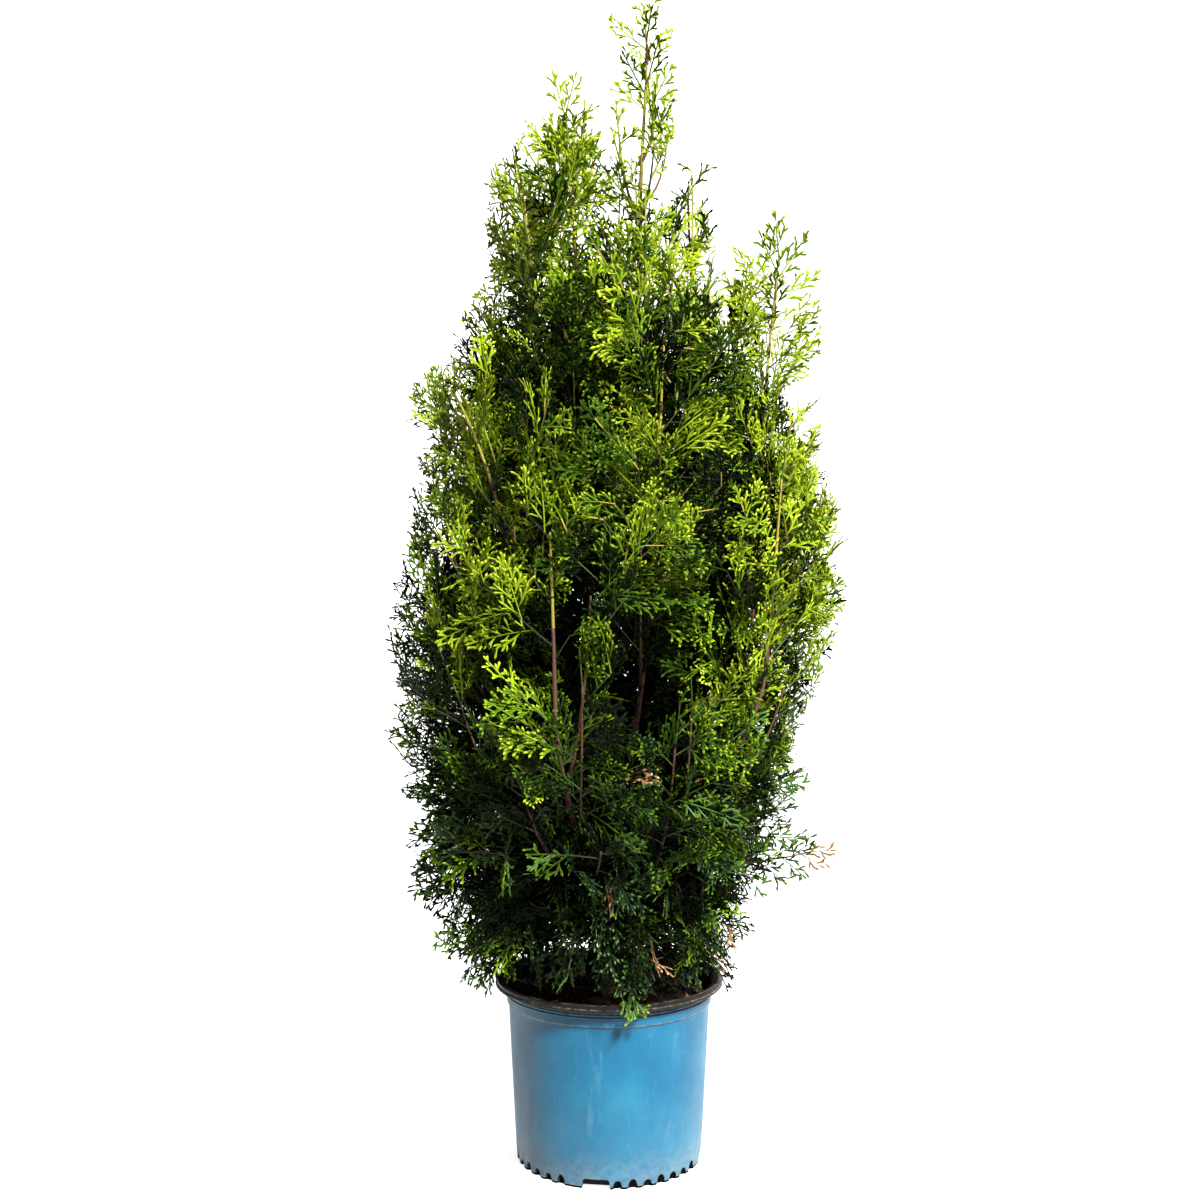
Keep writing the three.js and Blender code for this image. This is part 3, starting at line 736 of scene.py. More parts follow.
# How light a spray is, from 0 for the dark ones deep inside to 1 for the lime tips, by how its mass's name
# starts after the word foliage.
shadeOfMass = {
    "top": 0.78, "tall_left": 0.6, "mid_left": 0.66, "tall_right": 0.68, "far_right": 0.72,
    "inner_right": 0.66, "leaning_left": 0.82, "far_left": 0.42, "front": 0.74, "back": 0.58, "spire": 0.66,
    "skirt": 0.32, "lower": 0.4, "middle": 0.42, "inner": 0.5, "withered": 0.25,
}


def baseShade(massName):
    return next(shade for name, shade in shadeOfMass.items() if massName.startswith("foliage_" + name))


# The last sprays of three plumes, some at the crown's lower edge and all of the withered branch are listed
# one by one. Each has its root and its tip, across, back and up, and its shade. One of the withered branch
# has its share of the stem, its turn up from it in degrees, and its length.
plumeTips = {
    "foliage_top": {"above": 1285, "stemEnd": 0.84, "sprays": [
        [[45, 0, 1391], [36, 4, 1424], 0.9], [[45, 0, 1389], [57, -4, 1422], 0.9],
        [[46, 0, 1364], [0, -10, 1394], 0.95], [[47, 0, 1349], [77, 10, 1390], 0.9],
        [[46, 0, 1306], [17, 12, 1362], 0.5], [[48, 0, 1286], [77, -12, 1336], 0.95],
        [[45, 0, 1288], [8, 8, 1322], 0.9], [[46, 0, 1372], [52, -30, 1400], 0.9],
        [[46, 0, 1334], [34, 36, 1372], 0.8], [[46, 0, 1318], [60, -34, 1360], 0.95],
        [[46, 0, 1296], [52, 38, 1342], 0.8],
    ]},
    "foliage_tall_left": {"above": 1240, "stemEnd": 0.98, "sprays": [
        [[-56, 36, 1296], [-71, 34, 1346], 0.9], [[-56, 36, 1292], [-41, 30, 1343], 0.9],
        [[-54, 36, 1262], [-22, 28, 1302], 0.8], [[-54, 36, 1258], [-92, 30, 1298], 0.9],
        [[-52, 36, 1236], [-100, 28, 1266], 0.9], [[-52, 36, 1240], [-12, 40, 1272], 0.7],
        [[-53, 36, 1250], [-60, 78, 1292], 0.6], [[-52, 36, 1230], [-60, -4, 1272], 0.95],
    ]},
    "foliage_far_right": {"above": 1024, "stemEnd": 0.9, "sprays": [
        [[208, -24, 1090], [202, -30, 1150], 0.6], [[206, -24, 1080], [184, -20, 1130], 0.62],
        [[208, -24, 1078], [240, -28, 1124], 0.68], [[204, -24, 1062], [152, -28, 1104], 0.8],
        [[208, -24, 1048], [256, -20, 1080], 0.85], [[204, -24, 1040], [140, -10, 1072], 0.86],
        [[206, -24, 1022], [260, -34, 1040], 0.95], [[204, -24, 1014], [146, -44, 1044], 0.95],
        [[202, -24, 1000], [252, -60, 1020], 0.9], [[204, -24, 1050], [214, 34, 1092], 0.6],
        [[203, -24, 1030], [196, -74, 1068], 0.95], [[202, -24, 1004], [180, 40, 1050], 0.7],
        [[202, -24, 980], [260, -20, 1004], 0.95], [[200, -24, 962], [256, -50, 986], 0.9],
        [[201, -24, 978], [146, -40, 1010], 0.95], [[199, -24, 950], [246, 14, 972], 0.8],
    ]},
}
skirtSprays = [
    [[-178, -60, 344], [-237, -66, 340], 0.5], [[-156, -60, 283], [-212, -66, 278], 0.5],
    [[-130, -70, 271], [-153, -84, 232], 0.45], [[-188, -50, 396], [-236, -56, 412], 0.55],
    [[182, -60, 452], [236, -66, 470], 0.5], [[176, -70, 402], [228, -80, 404], 0.45],
    [[160, -70, 352], [206, -84, 338], 0.45],
]
witheredSprays = [
    [0.4, 36, 40], [0.48, -42, 40], [0.56, 34, 36], [0.63, -46, 36], [0.7, 30, 32], [0.77, -38, 30],
    [0.84, -4, 30],
]

# The chance that a branchlet is left out: near the top, by the leader, at the far right and the left edge.
thinning = {
    "top": {"from": 930, "over": 120, "share": 0.38},
    "leader": {"above": 1180, "from": 20, "to": 84, "share": 0.2},
    "right": {"above": 940, "beyond": 138, "share": 0.25},
    "left": {"beyond": -60, "edge": 0.76, "below": 900, "low": 470, "lowShare": 0.46, "share": 0.32},
}

# How light a branchlet's sprays are: lighter outward, up and to the right, and darker in the crown's hollow.
# Lighter outward is partly the fresh growth's own colour; darker inward and in the hollow is painted shade.
tones = {
    "base": -0.12, "outward": 1.2, "edge": 0.76, "scatter": 0.22,
    "bright": {"chance": 0.15, "edge": 0.75, "from": 470, "to": 800, "more": 0.3},
    "right": {"beyond": 95, "above": 880, "more": 0.15},
    "low": {"most": 0.46, "from": 470, "over": 400},
    "high": {"from": 950, "over": 220, "more": 0.4},
    # painted shade: sprays in the crown's hollow are darker
    "hollow": {"x": 22, "z": 600, "wide": 80, "tall": 200, "less": 0.3},
    "airy": {"shade": 0.9, "scatter": 0.16},
}

# Sprays along a branchlet. High up and at the thin left edge they are fewer and longer.
branchlet = {
    "first": 0.14, "span": 0.8, "angle": 42, "every": 13.5, "fewest": 4, "most": 8, "radius": 0.7,
    "length": 0.7, "taper": 0.34, "end": 0.9, "endLength": 0.36, "curve": 0.1,
    "high": 960, "wideEvery": 17, "longer": 1.15, "airyAbove": 1180, "airyRight": 130, "airyRightAbove": 985,
}
twigLines, twigStems = [], []


def chanceLeftOut(across, height, isSparse):
    top, leader, right, left = (thinning[place] for place in ("top", "leader", "right", "left"))
    share = top["share"] * np.clip((height - top["from"]) / top["over"], 0, 1)
    share += leader["share"] * (height > leader["above"] and leader["from"] < across < leader["to"])
    share += right["share"] * (across > right["beyond"] and height > right["above"])
    return share + (left["lowShare"] if height < left["low"] else left["share"]) * isSparse


def branchletShade(massName, outward, across, height, isAiry):
    bright, right, low, high, hollow = (tones[key] for key in ("bright", "right", "low", "high", "hollow"))
    # painted shade: the deeper inside the crown, the darker the sprays
    shade = baseShade(massName) + tones["base"] + tones["outward"] * (min(outward, 1) - tones["edge"])
    shade += tones["scatter"] * dice.normal()
    isBright = dice.random() < bright["chance"] and outward > bright["edge"]
    shade += bright["more"] * (isBright and bright["from"] < height < bright["to"])
    shade += right["more"] * (across > right["beyond"] and height > right["above"])
    shade = min(shade, low["most"] + max(0, height - low["from"]) / low["over"])
    shade += high["more"] * np.clip((height - high["from"]) / high["over"], 0, 1)
    # painted shade in the crown's hollow
    away = ((across - hollow["x"]) / hollow["wide"]) ** 2 + ((height - hollow["z"]) / hollow["tall"]) ** 2
    shade -= hollow["less"] * math.exp(-away)
    return tones["airy"]["shade"] + tones["airy"]["scatter"] * dice.normal() if isAiry else shade


def branchletStyle(mass, share):
    if mass["name"].startswith(("foliage_skirt", "foliage_lower")):
        return "feather" if dice.random() < 0.65 else "fan"
    if mass["terminal"] and share > 0.55:
        return "open"
    return "open" if dice.random() < 0.22 else "fan"


def dressBranchlet(made):
    mass = masses[made["mass"]]
    ahead, side, length = made["ahead"], made["side"], made["length"]
    across, _, height = made["center"]
    outward = crownShare(made["center"][None])[0]
    left = thinning["left"]
    isSparse = across < left["beyond"] and outward > left["edge"] and height < left["below"]
    isAtTip = height > plumeTips.get(mass["name"], {"above": math.inf})["above"]
    isLeftOut = dice.random() < chanceLeftOut(across, height, isSparse)
    if isLeftOut or isAtTip or mass["name"] == "foliage_withered":
        return
    isFarRight = across > branchlet["airyRight"] and height > branchlet["airyRightAbove"]
    isAiry = height > branchlet["airyAbove"] or isFarRight
    shade = branchletShade(mass["name"], outward, across, height, isAiry)
    bend = np.array([0, 0, branchlet["curve"]]) * (1 if mass["droop"] <= 0 else -1) * dice.uniform(0.5, 1.5)
    style = branchletStyle(mass, made["share"])

    def twigAt(share):
        return made["root"] + ahead * (length * share) + bend * (length * share**2)

    twigLines.append((made["root"], ahead * length, bend * length, dice.random()))
    twigStems.append((made["mass"], made["share"]))
    twig = len(twigLines) - 1
    count = int(np.clip(round(length / branchlet["every"]), branchlet["fewest"], branchlet["most"]))
    if height > branchlet["high"]:
        count, style = max(3, round(length / branchlet["wideEvery"])), "airy" if isAiry else "bold"
    elif isSparse:
        count, style = max(4, round(length / branchlet["wideEvery"])), "feather"
    stretch = branchlet["longer"] if height > branchlet["high"] or isSparse else 1
    for i in range(count):
        share = branchlet["first"] + branchlet["span"] * (i + 0.3 * (dice.random() - 0.5)) / count
        tangent = unit(ahead + 2 * bend * share)
        sign = 1 if i % 2 else -1
        angle = math.radians(branchlet["angle"] + 9 * dice.normal())
        tilt = made["face"] * 0.2 * dice.normal()
        sprayAhead = unit(tangent * math.cos(angle) + side * (sign * math.sin(angle)) + tilt)
        spraySide = unit(np.cross(made["face"] + 0.5 * dice.normal(size=3), sprayAhead))
        sprayLength = length * (branchlet["length"] - branchlet["taper"] * share)
        sprayLength = sprayLength * dice.uniform(0.85, 1.12) * stretch
        sprayBend = np.array([0, 0, -0.08 - 0.3 * max(0, mass["droop"])]) + 0.05 * dice.normal(size=3)
        addFrond(twigAt(share), sprayAhead, spraySide, sprayLength, style, shade + 0.1 * dice.normal(),
                 made["bush"], sprayBend, branchlet["radius"], twig, share)
    end = branchlet["end"]
    endAhead = unit(ahead + 1.8 * bend)
    endSide = unit(side - endAhead * np.dot(side, endAhead))
    addFrond(twigAt(end), endAhead, endSide, length * branchlet["endLength"], style, shade + 0.05,
             made["bush"], bend * 0.5, branchlet["radius"], twig, end)


for made in blades:
    dressBranchlet(made)

# Dark sprays round the stems and limbs, behind the others, near black as painted shade in the crown's middle.
# Only those deep inside are coarse.
shadowFill = {
    "perStem": 11, "length": [48, 80], "edge": 0.84, "deep": 0.66, "highest": 1010, "radius": 0.9,
    "darkest": -1, "dark": 0.04,
}
for mass in masses:
    for i in range(shadowFill["perStem"] if mass["core"] else 0):
        root = alongLine(mass["line"], dice.uniform(0.1, 0.85))
        ahead = unit(dice.normal(size=3) + np.array([0, 0, 0.4]))
        side = unit(np.cross(ahead, dice.normal(size=3)))
        length = dice.uniform(*shadowFill["length"])
        outward = crownShare(root + ahead * length)
        style, shade = ("coarse", "darkest") if outward < shadowFill["deep"] else ("fan", "dark")
        if outward < shadowFill["edge"] and root[2] < shadowFill["highest"]:
            addFrond(root, ahead, side, length, style, shadowFill[shade], mass["home"], np.zeros(3),
                     shadowFill["radius"])

# More of them, also in near-black painted shade, grow straight from the limbs, so that little light comes
# through the middle.
limbFill = {"count": 38, "low": 245, "high": 900, "length": [70, 105]}
for number, limbName in enumerate(limbNames):
    heights = limbPoints[number][:, 2]
    inside = np.nonzero((heights > limbFill["low"]) & (heights < limbFill["high"]))[0]
    bush = plumeOfLimb(limbName)
    for i in range(limbFill["count"] * (2 if limbName == "trunk" else 1)):
        at = dice.choice(inside)
        turn = dice.uniform(0, 2 * math.pi)
        ahead = unit(np.array([math.cos(turn), math.sin(turn), dice.uniform(-0.2, 1.1)]))
        root = limbPoints[number][at] + ahead * limbRadii[number][at]
        length = dice.uniform(*limbFill["length"])
        if crownShare(root + ahead * length) < shadowFill["deep"]:
            side = unit(np.cross(ahead, dice.normal(size=3)))
            addFrond(root, ahead, side, length, "coarse", shadowFill["darkest"], bush, np.zeros(3),
                     shadowFill["radius"])


# Sprays given one by one face the front. A lift above 0 bends their tips up.
def addByHand(root, ahead, length, style, shade, home, lift, radius=0.7):
    side = unit(np.cross([0, -1, 0.2], ahead))
    addFrond(root, ahead, side, length, style, shade, home, np.array([0, 0, lift]), radius)


def addFromTo(root, tip, *rest):
    along = np.array(tip, float) - np.array(root, float)
    addByHand(np.array(root, float), unit(along), np.linalg.norm(along), *rest)


firstByHand = len(frondRows)
for massName, tips in plumeTips.items():
    for root, tip, shade in tips["sprays"]:
        addFromTo(root, tip, "airy", shade, massNames.index(massName), 0.06)
for root, tip, shade in skirtSprays:
    addFromTo(root, tip, "feather", shade, nearestMass(root), -0.06)
for share, turn, length in witheredSprays:
    root = alongLine(witheredLine, share)
    along = unit(root - alongLine(witheredLine, share - 0.1))
    sway = np.array([0, 0.2 * dice.normal(), 0])
    ahead = unit(turned(along, np.array([0, -1, 0]), math.radians(turn)) + sway)
    addByHand(root, ahead, length, "open", 0.25, witheredMass, -0.08, 0.5)

# A sprig of the skirt hangs over the lip at the front. Each of its sprays has its share, turn and length.
rimSprig = {
    "root": [22, -130, 246], "tip": [32, -152, 205],
    "fronds": [[0, 0, 1], [0.4, 0.6, 0.4], [0.5, -0.6, 0.35]],
}
sprigRoot, sprigTip = np.array(rimSprig["root"], float), np.array(rimSprig["tip"], float)
sprigLength = np.linalg.norm(sprigTip - sprigRoot)
sprigAhead = unit(sprigTip - sprigRoot)
sprigSide = unit(np.cross([0, -1, 0.3], sprigAhead))
for share, turn, size in rimSprig["fronds"]:
    ahead = turned(sprigAhead, unit(np.cross(sprigSide, sprigAhead)), turn)
    side = unit(np.cross(np.cross(sprigSide, sprigAhead), ahead))
    addFrond(sprigRoot + sprigAhead * sprigLength * share, ahead, side, sprigLength * size, "open", 0.45,
             massNames.index("foliage_skirt_6"), np.array([0, -0.08, 0]), 0.7)

(
    frondRoot, frondAhead, frondSide, frondLength, frondStyle, frondShade,
    frondMass, frondBend, frondRadius, frondTwig, frondTwigShare,
) = (np.array(column) for column in zip(*frondRows))
massEdges = np.array([mass["edge"] for mass in masses])

# How far past the crown's line a spray may reach, left and right. It bulges a little at the lower right.
sideRoom = {"left": 1.035, "right": 1, "bulge": 0.09, "bulgeHeight": 420, "bulgeTall": 75}


def sideReach(points):
    rise = (points[:, 2] - sideRoom["bulgeHeight"]) / sideRoom["bulgeTall"]
    bulge = sideRoom["bulge"] * np.exp(-rise ** 2)
    return np.where(points[:, 0] < 0, sideRoom["left"], sideRoom["right"] + bulge)


# Each spray is shortened to stay in the crown and out of the sky, or left out if 0.45 of it doesn't fit.
def roomForSprays():
    edge = massEdges[frondMass]
    room = np.zeros(len(frondLength))
    isOpen = np.ones(len(frondLength), bool)
    for share in (0.45, 0.6, 0.75, 0.9, 1.0):
        points = frondRoot + (frondAhead * share + frondBend * share**2) * frondLength[:, None]
        reach = edge * cleftEdge(points) * sideReach(points)
        isOpen &= (crownShare(points) <= reach) & ~inSkyGap(points)
        isOpen &= points[:, 2] < crown["top"]
        room[isOpen] = share
    return room


room = roomForSprays()
room[firstByHand:] = 1  # those listed one by one keep their length
pick = room > 0
twigEnds = np.zeros(len(twigLines))
onTwig = pick & (frondTwig >= 0)
np.maximum.at(twigEnds, frondTwig[onTwig], frondTwigShare[onTwig])
stemEnds = np.zeros(len(masses))
for (number, share), twigEnd in zip(twigStems, twigEnds):
    if twigEnd > 0:
        stemEnds[number] = max(stemEnds[number], share)
frondRoot, frondAhead, frondSide, frondBend = (a[pick] for a in (frondRoot, frondAhead, frondSide, frondBend))
frondStyle, frondShade, frondMass, frondRadius = (
    a[pick] for a in (frondStyle, frondShade, frondMass, frondRadius)
)
frondLength = (frondLength * room)[pick]
frondFace = unit(np.cross(frondSide, frondAhead))
print("sprays:", len(frondRows), "with room:", len(frondLength))


# Dead sprays: the outer part of the withered branch, tufts that show at the front, and a few strays low down.
deadTufts = {
    "spots": [[150, -60, 262, 24], [172, -50, 300, 16], [53, -120, 262, 15], [-10, -125, 266, 13],
              [34, -200, 491, 11], [-13, -200, 365, 11]],
    "strays": 0.006, "strayHeight": 520, "witheredFrom": 236, "shrink": 0.65,
}


def isDeadSpray(middle, isWithered):
    dead = isWithered & (middle[:, 0] > deadTufts["witheredFrom"])
    for x, y, z, reach in deadTufts["spots"]:
        dead |= np.linalg.norm(middle - np.array([x, y, z]), axis=1) < reach
    isStray = (dice.random(len(middle)) < deadTufts["strays"]) & (middle[:, 2] < deadTufts["strayHeight"])
    return dead | isStray


frondIsWithered = frondMass == witheredMass
frondDead = isDeadSpray(frondRoot + frondAhead * frondLength[:, None] / 2, frondIsWithered)
frondLength = frondLength * np.where(frondDead & ~frondIsWithered, deadTufts["shrink"], 1)
print("dead sprays:", int(frondDead.sum()))


def styleValue(key):
    return np.array(sprayStyles[key])[frondStyle]


def spread(shape, low, high):
    return dice.uniform(low, high, shape)


# Points at these shares of lines that bend.
def alongCurves(root, ahead, bend, length, share):
    share = share[..., None]
    return root + (ahead * share + bend * share**2) * length[..., None]


def onSpines(share):
    return alongCurves(*(a[:, None] for a in (frondRoot, frondAhead, frondBend, frondLength)), share)


# Side shoots: one row for each spray and one column for each place on its spine, left and right in turn.
sideShoot = {"first": 0.09, "span": 0.86, "last": 0.94, "curl": 0.25, "least": 5, "curvedOver": 15}
pitch = styleValue("pitch")
frondCount = len(frondLength)
placeCount = int(np.ceil((sideShoot["span"] * frondLength / pitch).max()))
place = np.arange(placeCount)[None]
scattered = place + spread((frondCount, placeCount), -0.2, 0.2)
share = sideShoot["first"] + scattered * (pitch / frondLength)[:, None]
hasSide = share < sideShoot["last"]
tangent = unit(frondAhead[:, None] + 2 * frondBend[:, None] * share[..., None])
gridBase = onSpines(share)
sideWay = unit(frondSide[:, None] - tangent * dot(frondSide[:, None], tangent))
parity = dice.integers(0, 2, frondCount)[:, None]
sign = np.where((place + parity) % 2, 1, -1)
angle = np.radians(styleValue("angle")[:, None] * (1 - 0.2 * share) + spread(share.shape, -7, 7))
gridAhead = unit(
    tangent * np.cos(angle)[..., None]
    + sideWay * (sign * np.sin(angle))[..., None]
    + frondFace[:, None] * spread(share.shape, -0.14, 0.14)[..., None]
)
fall = np.clip(1 - share, 0, 1) ** 0.8 * np.minimum(1, 0.5 + 2.4 * share)
gridLength = (frondLength * styleValue("reach"))[:, None] * fall * spread(share.shape, 0.82, 1.15)
gridLength = gridLength + sideShoot["least"]
gridCurl = (tangent - gridAhead * dot(tangent, gridAhead)) * sideShoot["curl"]
sideOwner, sidePlace = np.nonzero(hasSide)
sideBase, sideAhead, sideCurl, sideLength = (
    grid[sideOwner, sidePlace] for grid in (gridBase, gridAhead, gridCurl, gridLength)
)
sideFace = frondFace[sideOwner]

# Last shoots on those, with blunt tips.
lastShoot = {"first": 0.26, "span": 0.7, "last": 0.93, "parentOver": 8, "room": 0.55, "least": 3.5}
fork = styleValue("fork")[sideOwner]
forkCount = int(np.ceil((lastShoot["span"] * sideLength / fork).max())) + 1
forkPlace = np.arange(forkCount)[None] + spread((len(sideOwner), forkCount), -0.15, 0.15)
share = lastShoot["first"] + forkPlace * (fork / sideLength)[:, None]
hasShoot = (share < lastShoot["last"]) & (sideLength > lastShoot["parentOver"])[:, None]
parent, number = np.nonzero(hasShoot)
share = share[parent, number]
tangent = unit(sideAhead[parent] + 2 * sideCurl[parent] * share[:, None])
lastBase = alongCurves(sideBase[parent], sideAhead[parent], sideCurl[parent], sideLength[parent], share)
lastOwner, lastFace = sideOwner[parent], sideFace[parent]
across = unit(np.cross(lastFace, tangent))
sign = np.where((number + sidePlace[parent]) % 2, 1, -1)
angle = np.radians(styleValue("forkAngle")[lastOwner] + spread(len(parent), -9, 9))
lastAhead = unit(
    tangent * np.cos(angle)[:, None]
    + across * (sign * np.sin(angle))[:, None]
    + lastFace * spread(len(parent), -0.2, 0.2)[:, None]
)
lastRoom = lastShoot["room"] * sideLength[parent] * (1 - share) + lastShoot["least"]
lastLength = np.clip(lastRoom, styleValue("shortest")[lastOwner], styleValue("longest")[lastOwner])
lastLength = lastLength * spread(len(parent), 0.85, 1.12)

# One more shoot ends each spray.
sprayEnds = frondRoot + (frondAhead * 0.86 + frondBend * 0.74) * frondLength[:, None]
lastBase = np.concatenate([lastBase, sprayEnds])
lastAhead = np.concatenate([lastAhead, unit(frondAhead + 1.8 * frondBend)])
lastLength = np.concatenate([lastLength, 0.14 * frondLength + 5])
lastOwner = np.concatenate([lastOwner, np.arange(frondCount)])
lastFace = np.concatenate([lastFace, frondFace])
width = styleValue("width")
print("side shoots:", len(sideOwner), "last shoots:", len(lastOwner))


# Room that the shoots leave in millimetres over the mix and the lip, beside the pot and round the limbs. The
# sprig at the front may hang over the lip.
clearOf = {
    "mixRadius": 118, "overMix": 9, "lipRadius": 146, "overLip": 3, "lowest": 200, "limb": 1.2,
    "edge": 0.012, "top": 2, "batch": 20000,
    "sprig": {"wide": 26, "from": 143, "to": 160, "above": 198, "overLip": 40},
}


# Leaves out what would leave the crown, or stand in the pot or a limb.
def keeps(points, own):
    sprig = clearOf["sprig"]
    height = points[:, 2]
    radius = np.hypot(points[:, 0], points[:, 1])
    reach = massEdges[own] * (sideReach(points) + clearOf["edge"])
    fits = (crownShare(points) <= reach) & (height < crown["top"] + clearOf["top"])
    overMix = (radius < clearOf["mixRadius"]) & (height > mixTop + clearOf["overMix"])
    overLip = (radius < clearOf["lipRadius"]) & (height > potHeight + clearOf["overLip"])
    fits &= overMix | overLip | ((radius >= clearOf["lipRadius"]) & (height > clearOf["lowest"]))
    inSprig = (np.abs(points[:, 0] - sprigTip[0]) < sprig["wide"]) & (points[:, 1] < 0)
    inSprig &= (radius > sprig["from"]) & (radius < sprig["to"])
    fits |= inSprig & (height > sprig["above"]) & (height < potHeight + sprig["overLip"])
    for start in range(0, len(points), clearOf["batch"]):
        part = slice(start, start + clearOf["batch"])
        nearest = np.full(len(points[part]), np.inf)
        for limbNumber in range(len(limbNames)):
            apart = np.linalg.norm(points[part][:, None] - limbPoints[limbNumber][None], axis=-1)
            nearest = np.minimum(nearest, (apart - limbRadii[limbNumber][None]).min(axis=1))
        fits[part] &= nearest > clearOf["limb"]
    return fits


keepSide = keeps(sideBase + (sideAhead + sideCurl) * sideLength[:, None], frondMass[sideOwner])
keepLast = keeps(lastBase + lastAhead * lastLength[:, None], frondMass[lastOwner])
keepLast[:len(parent)] &= keepSide[parent]
isCurved = sideLength > sideShoot["curvedOver"]
print("kept:", int(keepSide.sum()), int(keepLast.sum()))


# Shades: plain colours of the scale leaves, from the darkest sprays to the fresh tips, then the dead ones.
# The darkest are partly painted shade for sprays deep inside; the near-black one after the cool greens is all
# painted shade.
leafShades = [
    "#070E03", "#122006", "#243A08", "#3E5A0D", "#638114", "#90AB1E", "#BBCA2A", "#DBE244",
    "#13240E", "#264219", "#4F7434",
    "#050903",
    "#8F6B48", "#CBA67C",
]
firstCool = 8
# the near-black painted shade of the fill sprays
shadowShade = 11
firstDead = 12


def leafMaterial(number, hexCode):
    isDead = number >= firstDead
    isCool = firstCool <= number < shadowShade
    name = "scale leaves, dried" if isDead else "scale leaves, waxy"
    roughness, sheen = (0.75, 0.08) if isDead else (0.5, 0.2) if isCool else (0.55, 0.08)
    material, shader = newMaterial(f"{name} {number + 1}", {
        "Base Color": linear(hexCode), "Roughness": roughness, "IOR": 1.4, "Specular IOR Level": sheen,
    })
    # overlapping scales, 2 mm long, show as a faint relief
    where = addNode(material, "TexCoord").outputs["Object"]
    scales = addNode(material, "TexVoronoi", {"Scale": 1 / (2 * mm)}, {"Vector": where})
    relief = addNode(material, "Bump", {"Strength": 0.35, "Distance": 0.3 * mm},
                     {"Height": scales.outputs["Distance"]})
    link(material, shader, {"Normal": relief.outputs["Normal"]})
    return material


leafMaterials = [leafMaterial(number, hexCode) for number, hexCode in enumerate(leafShades)]

# A spray's shade times this is its number in the list. Low down, up to most of them are of the cool kind.
shadeRule = {"times": 6.5, "lightest": 5, "coolBelow": 620, "coolOver": 380, "mostCool": 0.7}


def shadeNumbers(shade, height):
    number = np.clip(np.round(shade * shadeRule["times"]), 0, shadeRule["lightest"]).astype(int)
    coolShare = np.clip((shadeRule["coolBelow"] - height) / shadeRule["coolOver"], 0, shadeRule["mostCool"])
    isCool = dice.random(len(shade)) < coolShare
    number = np.where(isCool & (number >= 1) & (number <= 3), firstCool + number - 1, number)
    return np.where(shade <= shadowFill["darkest"], shadowShade, number)


# Tips are one or two shades lighter than the rest of their shoot.
def tipNumbers(number):
    fresh = np.minimum(number + np.where(dice.random(len(number)) < 0.5, 2, 1), firstCool - 1)
    lively = np.where(dice.random(len(number)) < 0.35, 5, 4)
    tip = np.where(number >= firstCool, np.where(number < firstCool + 1, firstCool + 2, lively), fresh)
    tip = np.where(number == shadowShade, shadowShade, tip)
    return np.where(number >= firstDead, firstDead + 1, tip)


bodyNumber = shadeNumbers(frondShade, frondRoot[:, 2])
bodyNumber = np.where(frondDead & (bodyNumber != shadowShade), firstDead, bodyNumber)
tipNumber = tipNumbers(bodyNumber)


# Short shoots: ridged blades of 5 faces with blunt tips, with 6 corners.
def shortShoots(base, ahead, face, length, width):
    across = unit(np.cross(ahead, face)) * (width / 2)[:, None]
    up = unit(np.cross(across, ahead)) * (width * 0.28)[:, None]
    along = ahead * length[:, None]
    shoulder = base + along * 0.76
    return np.stack([base - across * 0.45, base + across * 0.45, shoulder - across, base + along * 0.62 + up,
                     shoulder + across, base + along], 1)


shortFaces = np.array([[0, 1, 3], [0, 3, 2], [1, 4, 3], [5, 2, 3], [5, 3, 4]])
shortIsTip = np.array([0, 0, 0, 1, 1])


# Longer shoots: tents of 8 faces that curve, with 8 corners.
def longShoots(base, ahead, curl, face, length, width):
    rings = []
    for w, share in ((0.3, 0.36), (0.8, 0.5)):
        center = base + (ahead * w + curl * w * w) * length[:, None]
        tangent = unit(ahead + 2 * curl * w)
        across = unit(np.cross(tangent, face)) * (width * share)[:, None]
        up = unit(np.cross(across, tangent)) * (width * share * 0.6)[:, None]
        rings += [center - across, center + up, center + across]
    return np.stack([base, *rings, base + (ahead + curl) * length[:, None]], 1)


longFaces = np.array([
    [0, 2, 1], [0, 3, 2], [1, 2, 5], [1, 5, 4], [2, 3, 6], [2, 6, 5], [7, 4, 5], [7, 5, 6],
])
longIsTip = np.array([0, 0, 0, 0, 0, 0, 1, 1])


# Three-sided tapering rods along lines of points, closed at the tip.
def rods(lines, radii, face):
    steps = lines.shape[1]
    ahead = unit(np.gradient(lines, axis=1))
    across = unit(np.cross(ahead, face[:, None]))
    up = unit(np.cross(across, ahead))
    rings = []
    for i in range(steps - 1):
        radius = radii[:, i][:, None]
        for turn in (210, 330, 90):
            a = math.radians(turn)
            outward = across[:, i] * (math.cos(a) * radius)
            rings.append(lines[:, i] + outward + up[:, i] * (math.sin(a) * radius))
    rings.append(lines[:, -1])
    return np.stack(rings, 1)


def rodFaces(steps):
    faces = [[0, 2, 1]]
    for i in range(steps - 2):
        a = 3 * i
        for p, q in ((0, 1), (1, 2), (2, 0)):
            faces += [[a + p, a + q, a + 3 + q], [a + p, a + 3 + q, a + 3 + p]]
    a = 3 * (steps - 2)
    tip = 3 * (steps - 1)
    faces += [[a, a + 1, tip], [a + 1, a + 2, tip], [a + 2, a, tip]]
    return np.array(faces)


# Twigs: mass stems, branchlet twigs and the spines of sprays.
twigColors = {
    "old": "#5E3A2B", "fine": "#5B4325", "golden": "#A5932F", "fresh": "#8C9A2E", "green": "#42501A",
    "inner": "#2C2415",
}


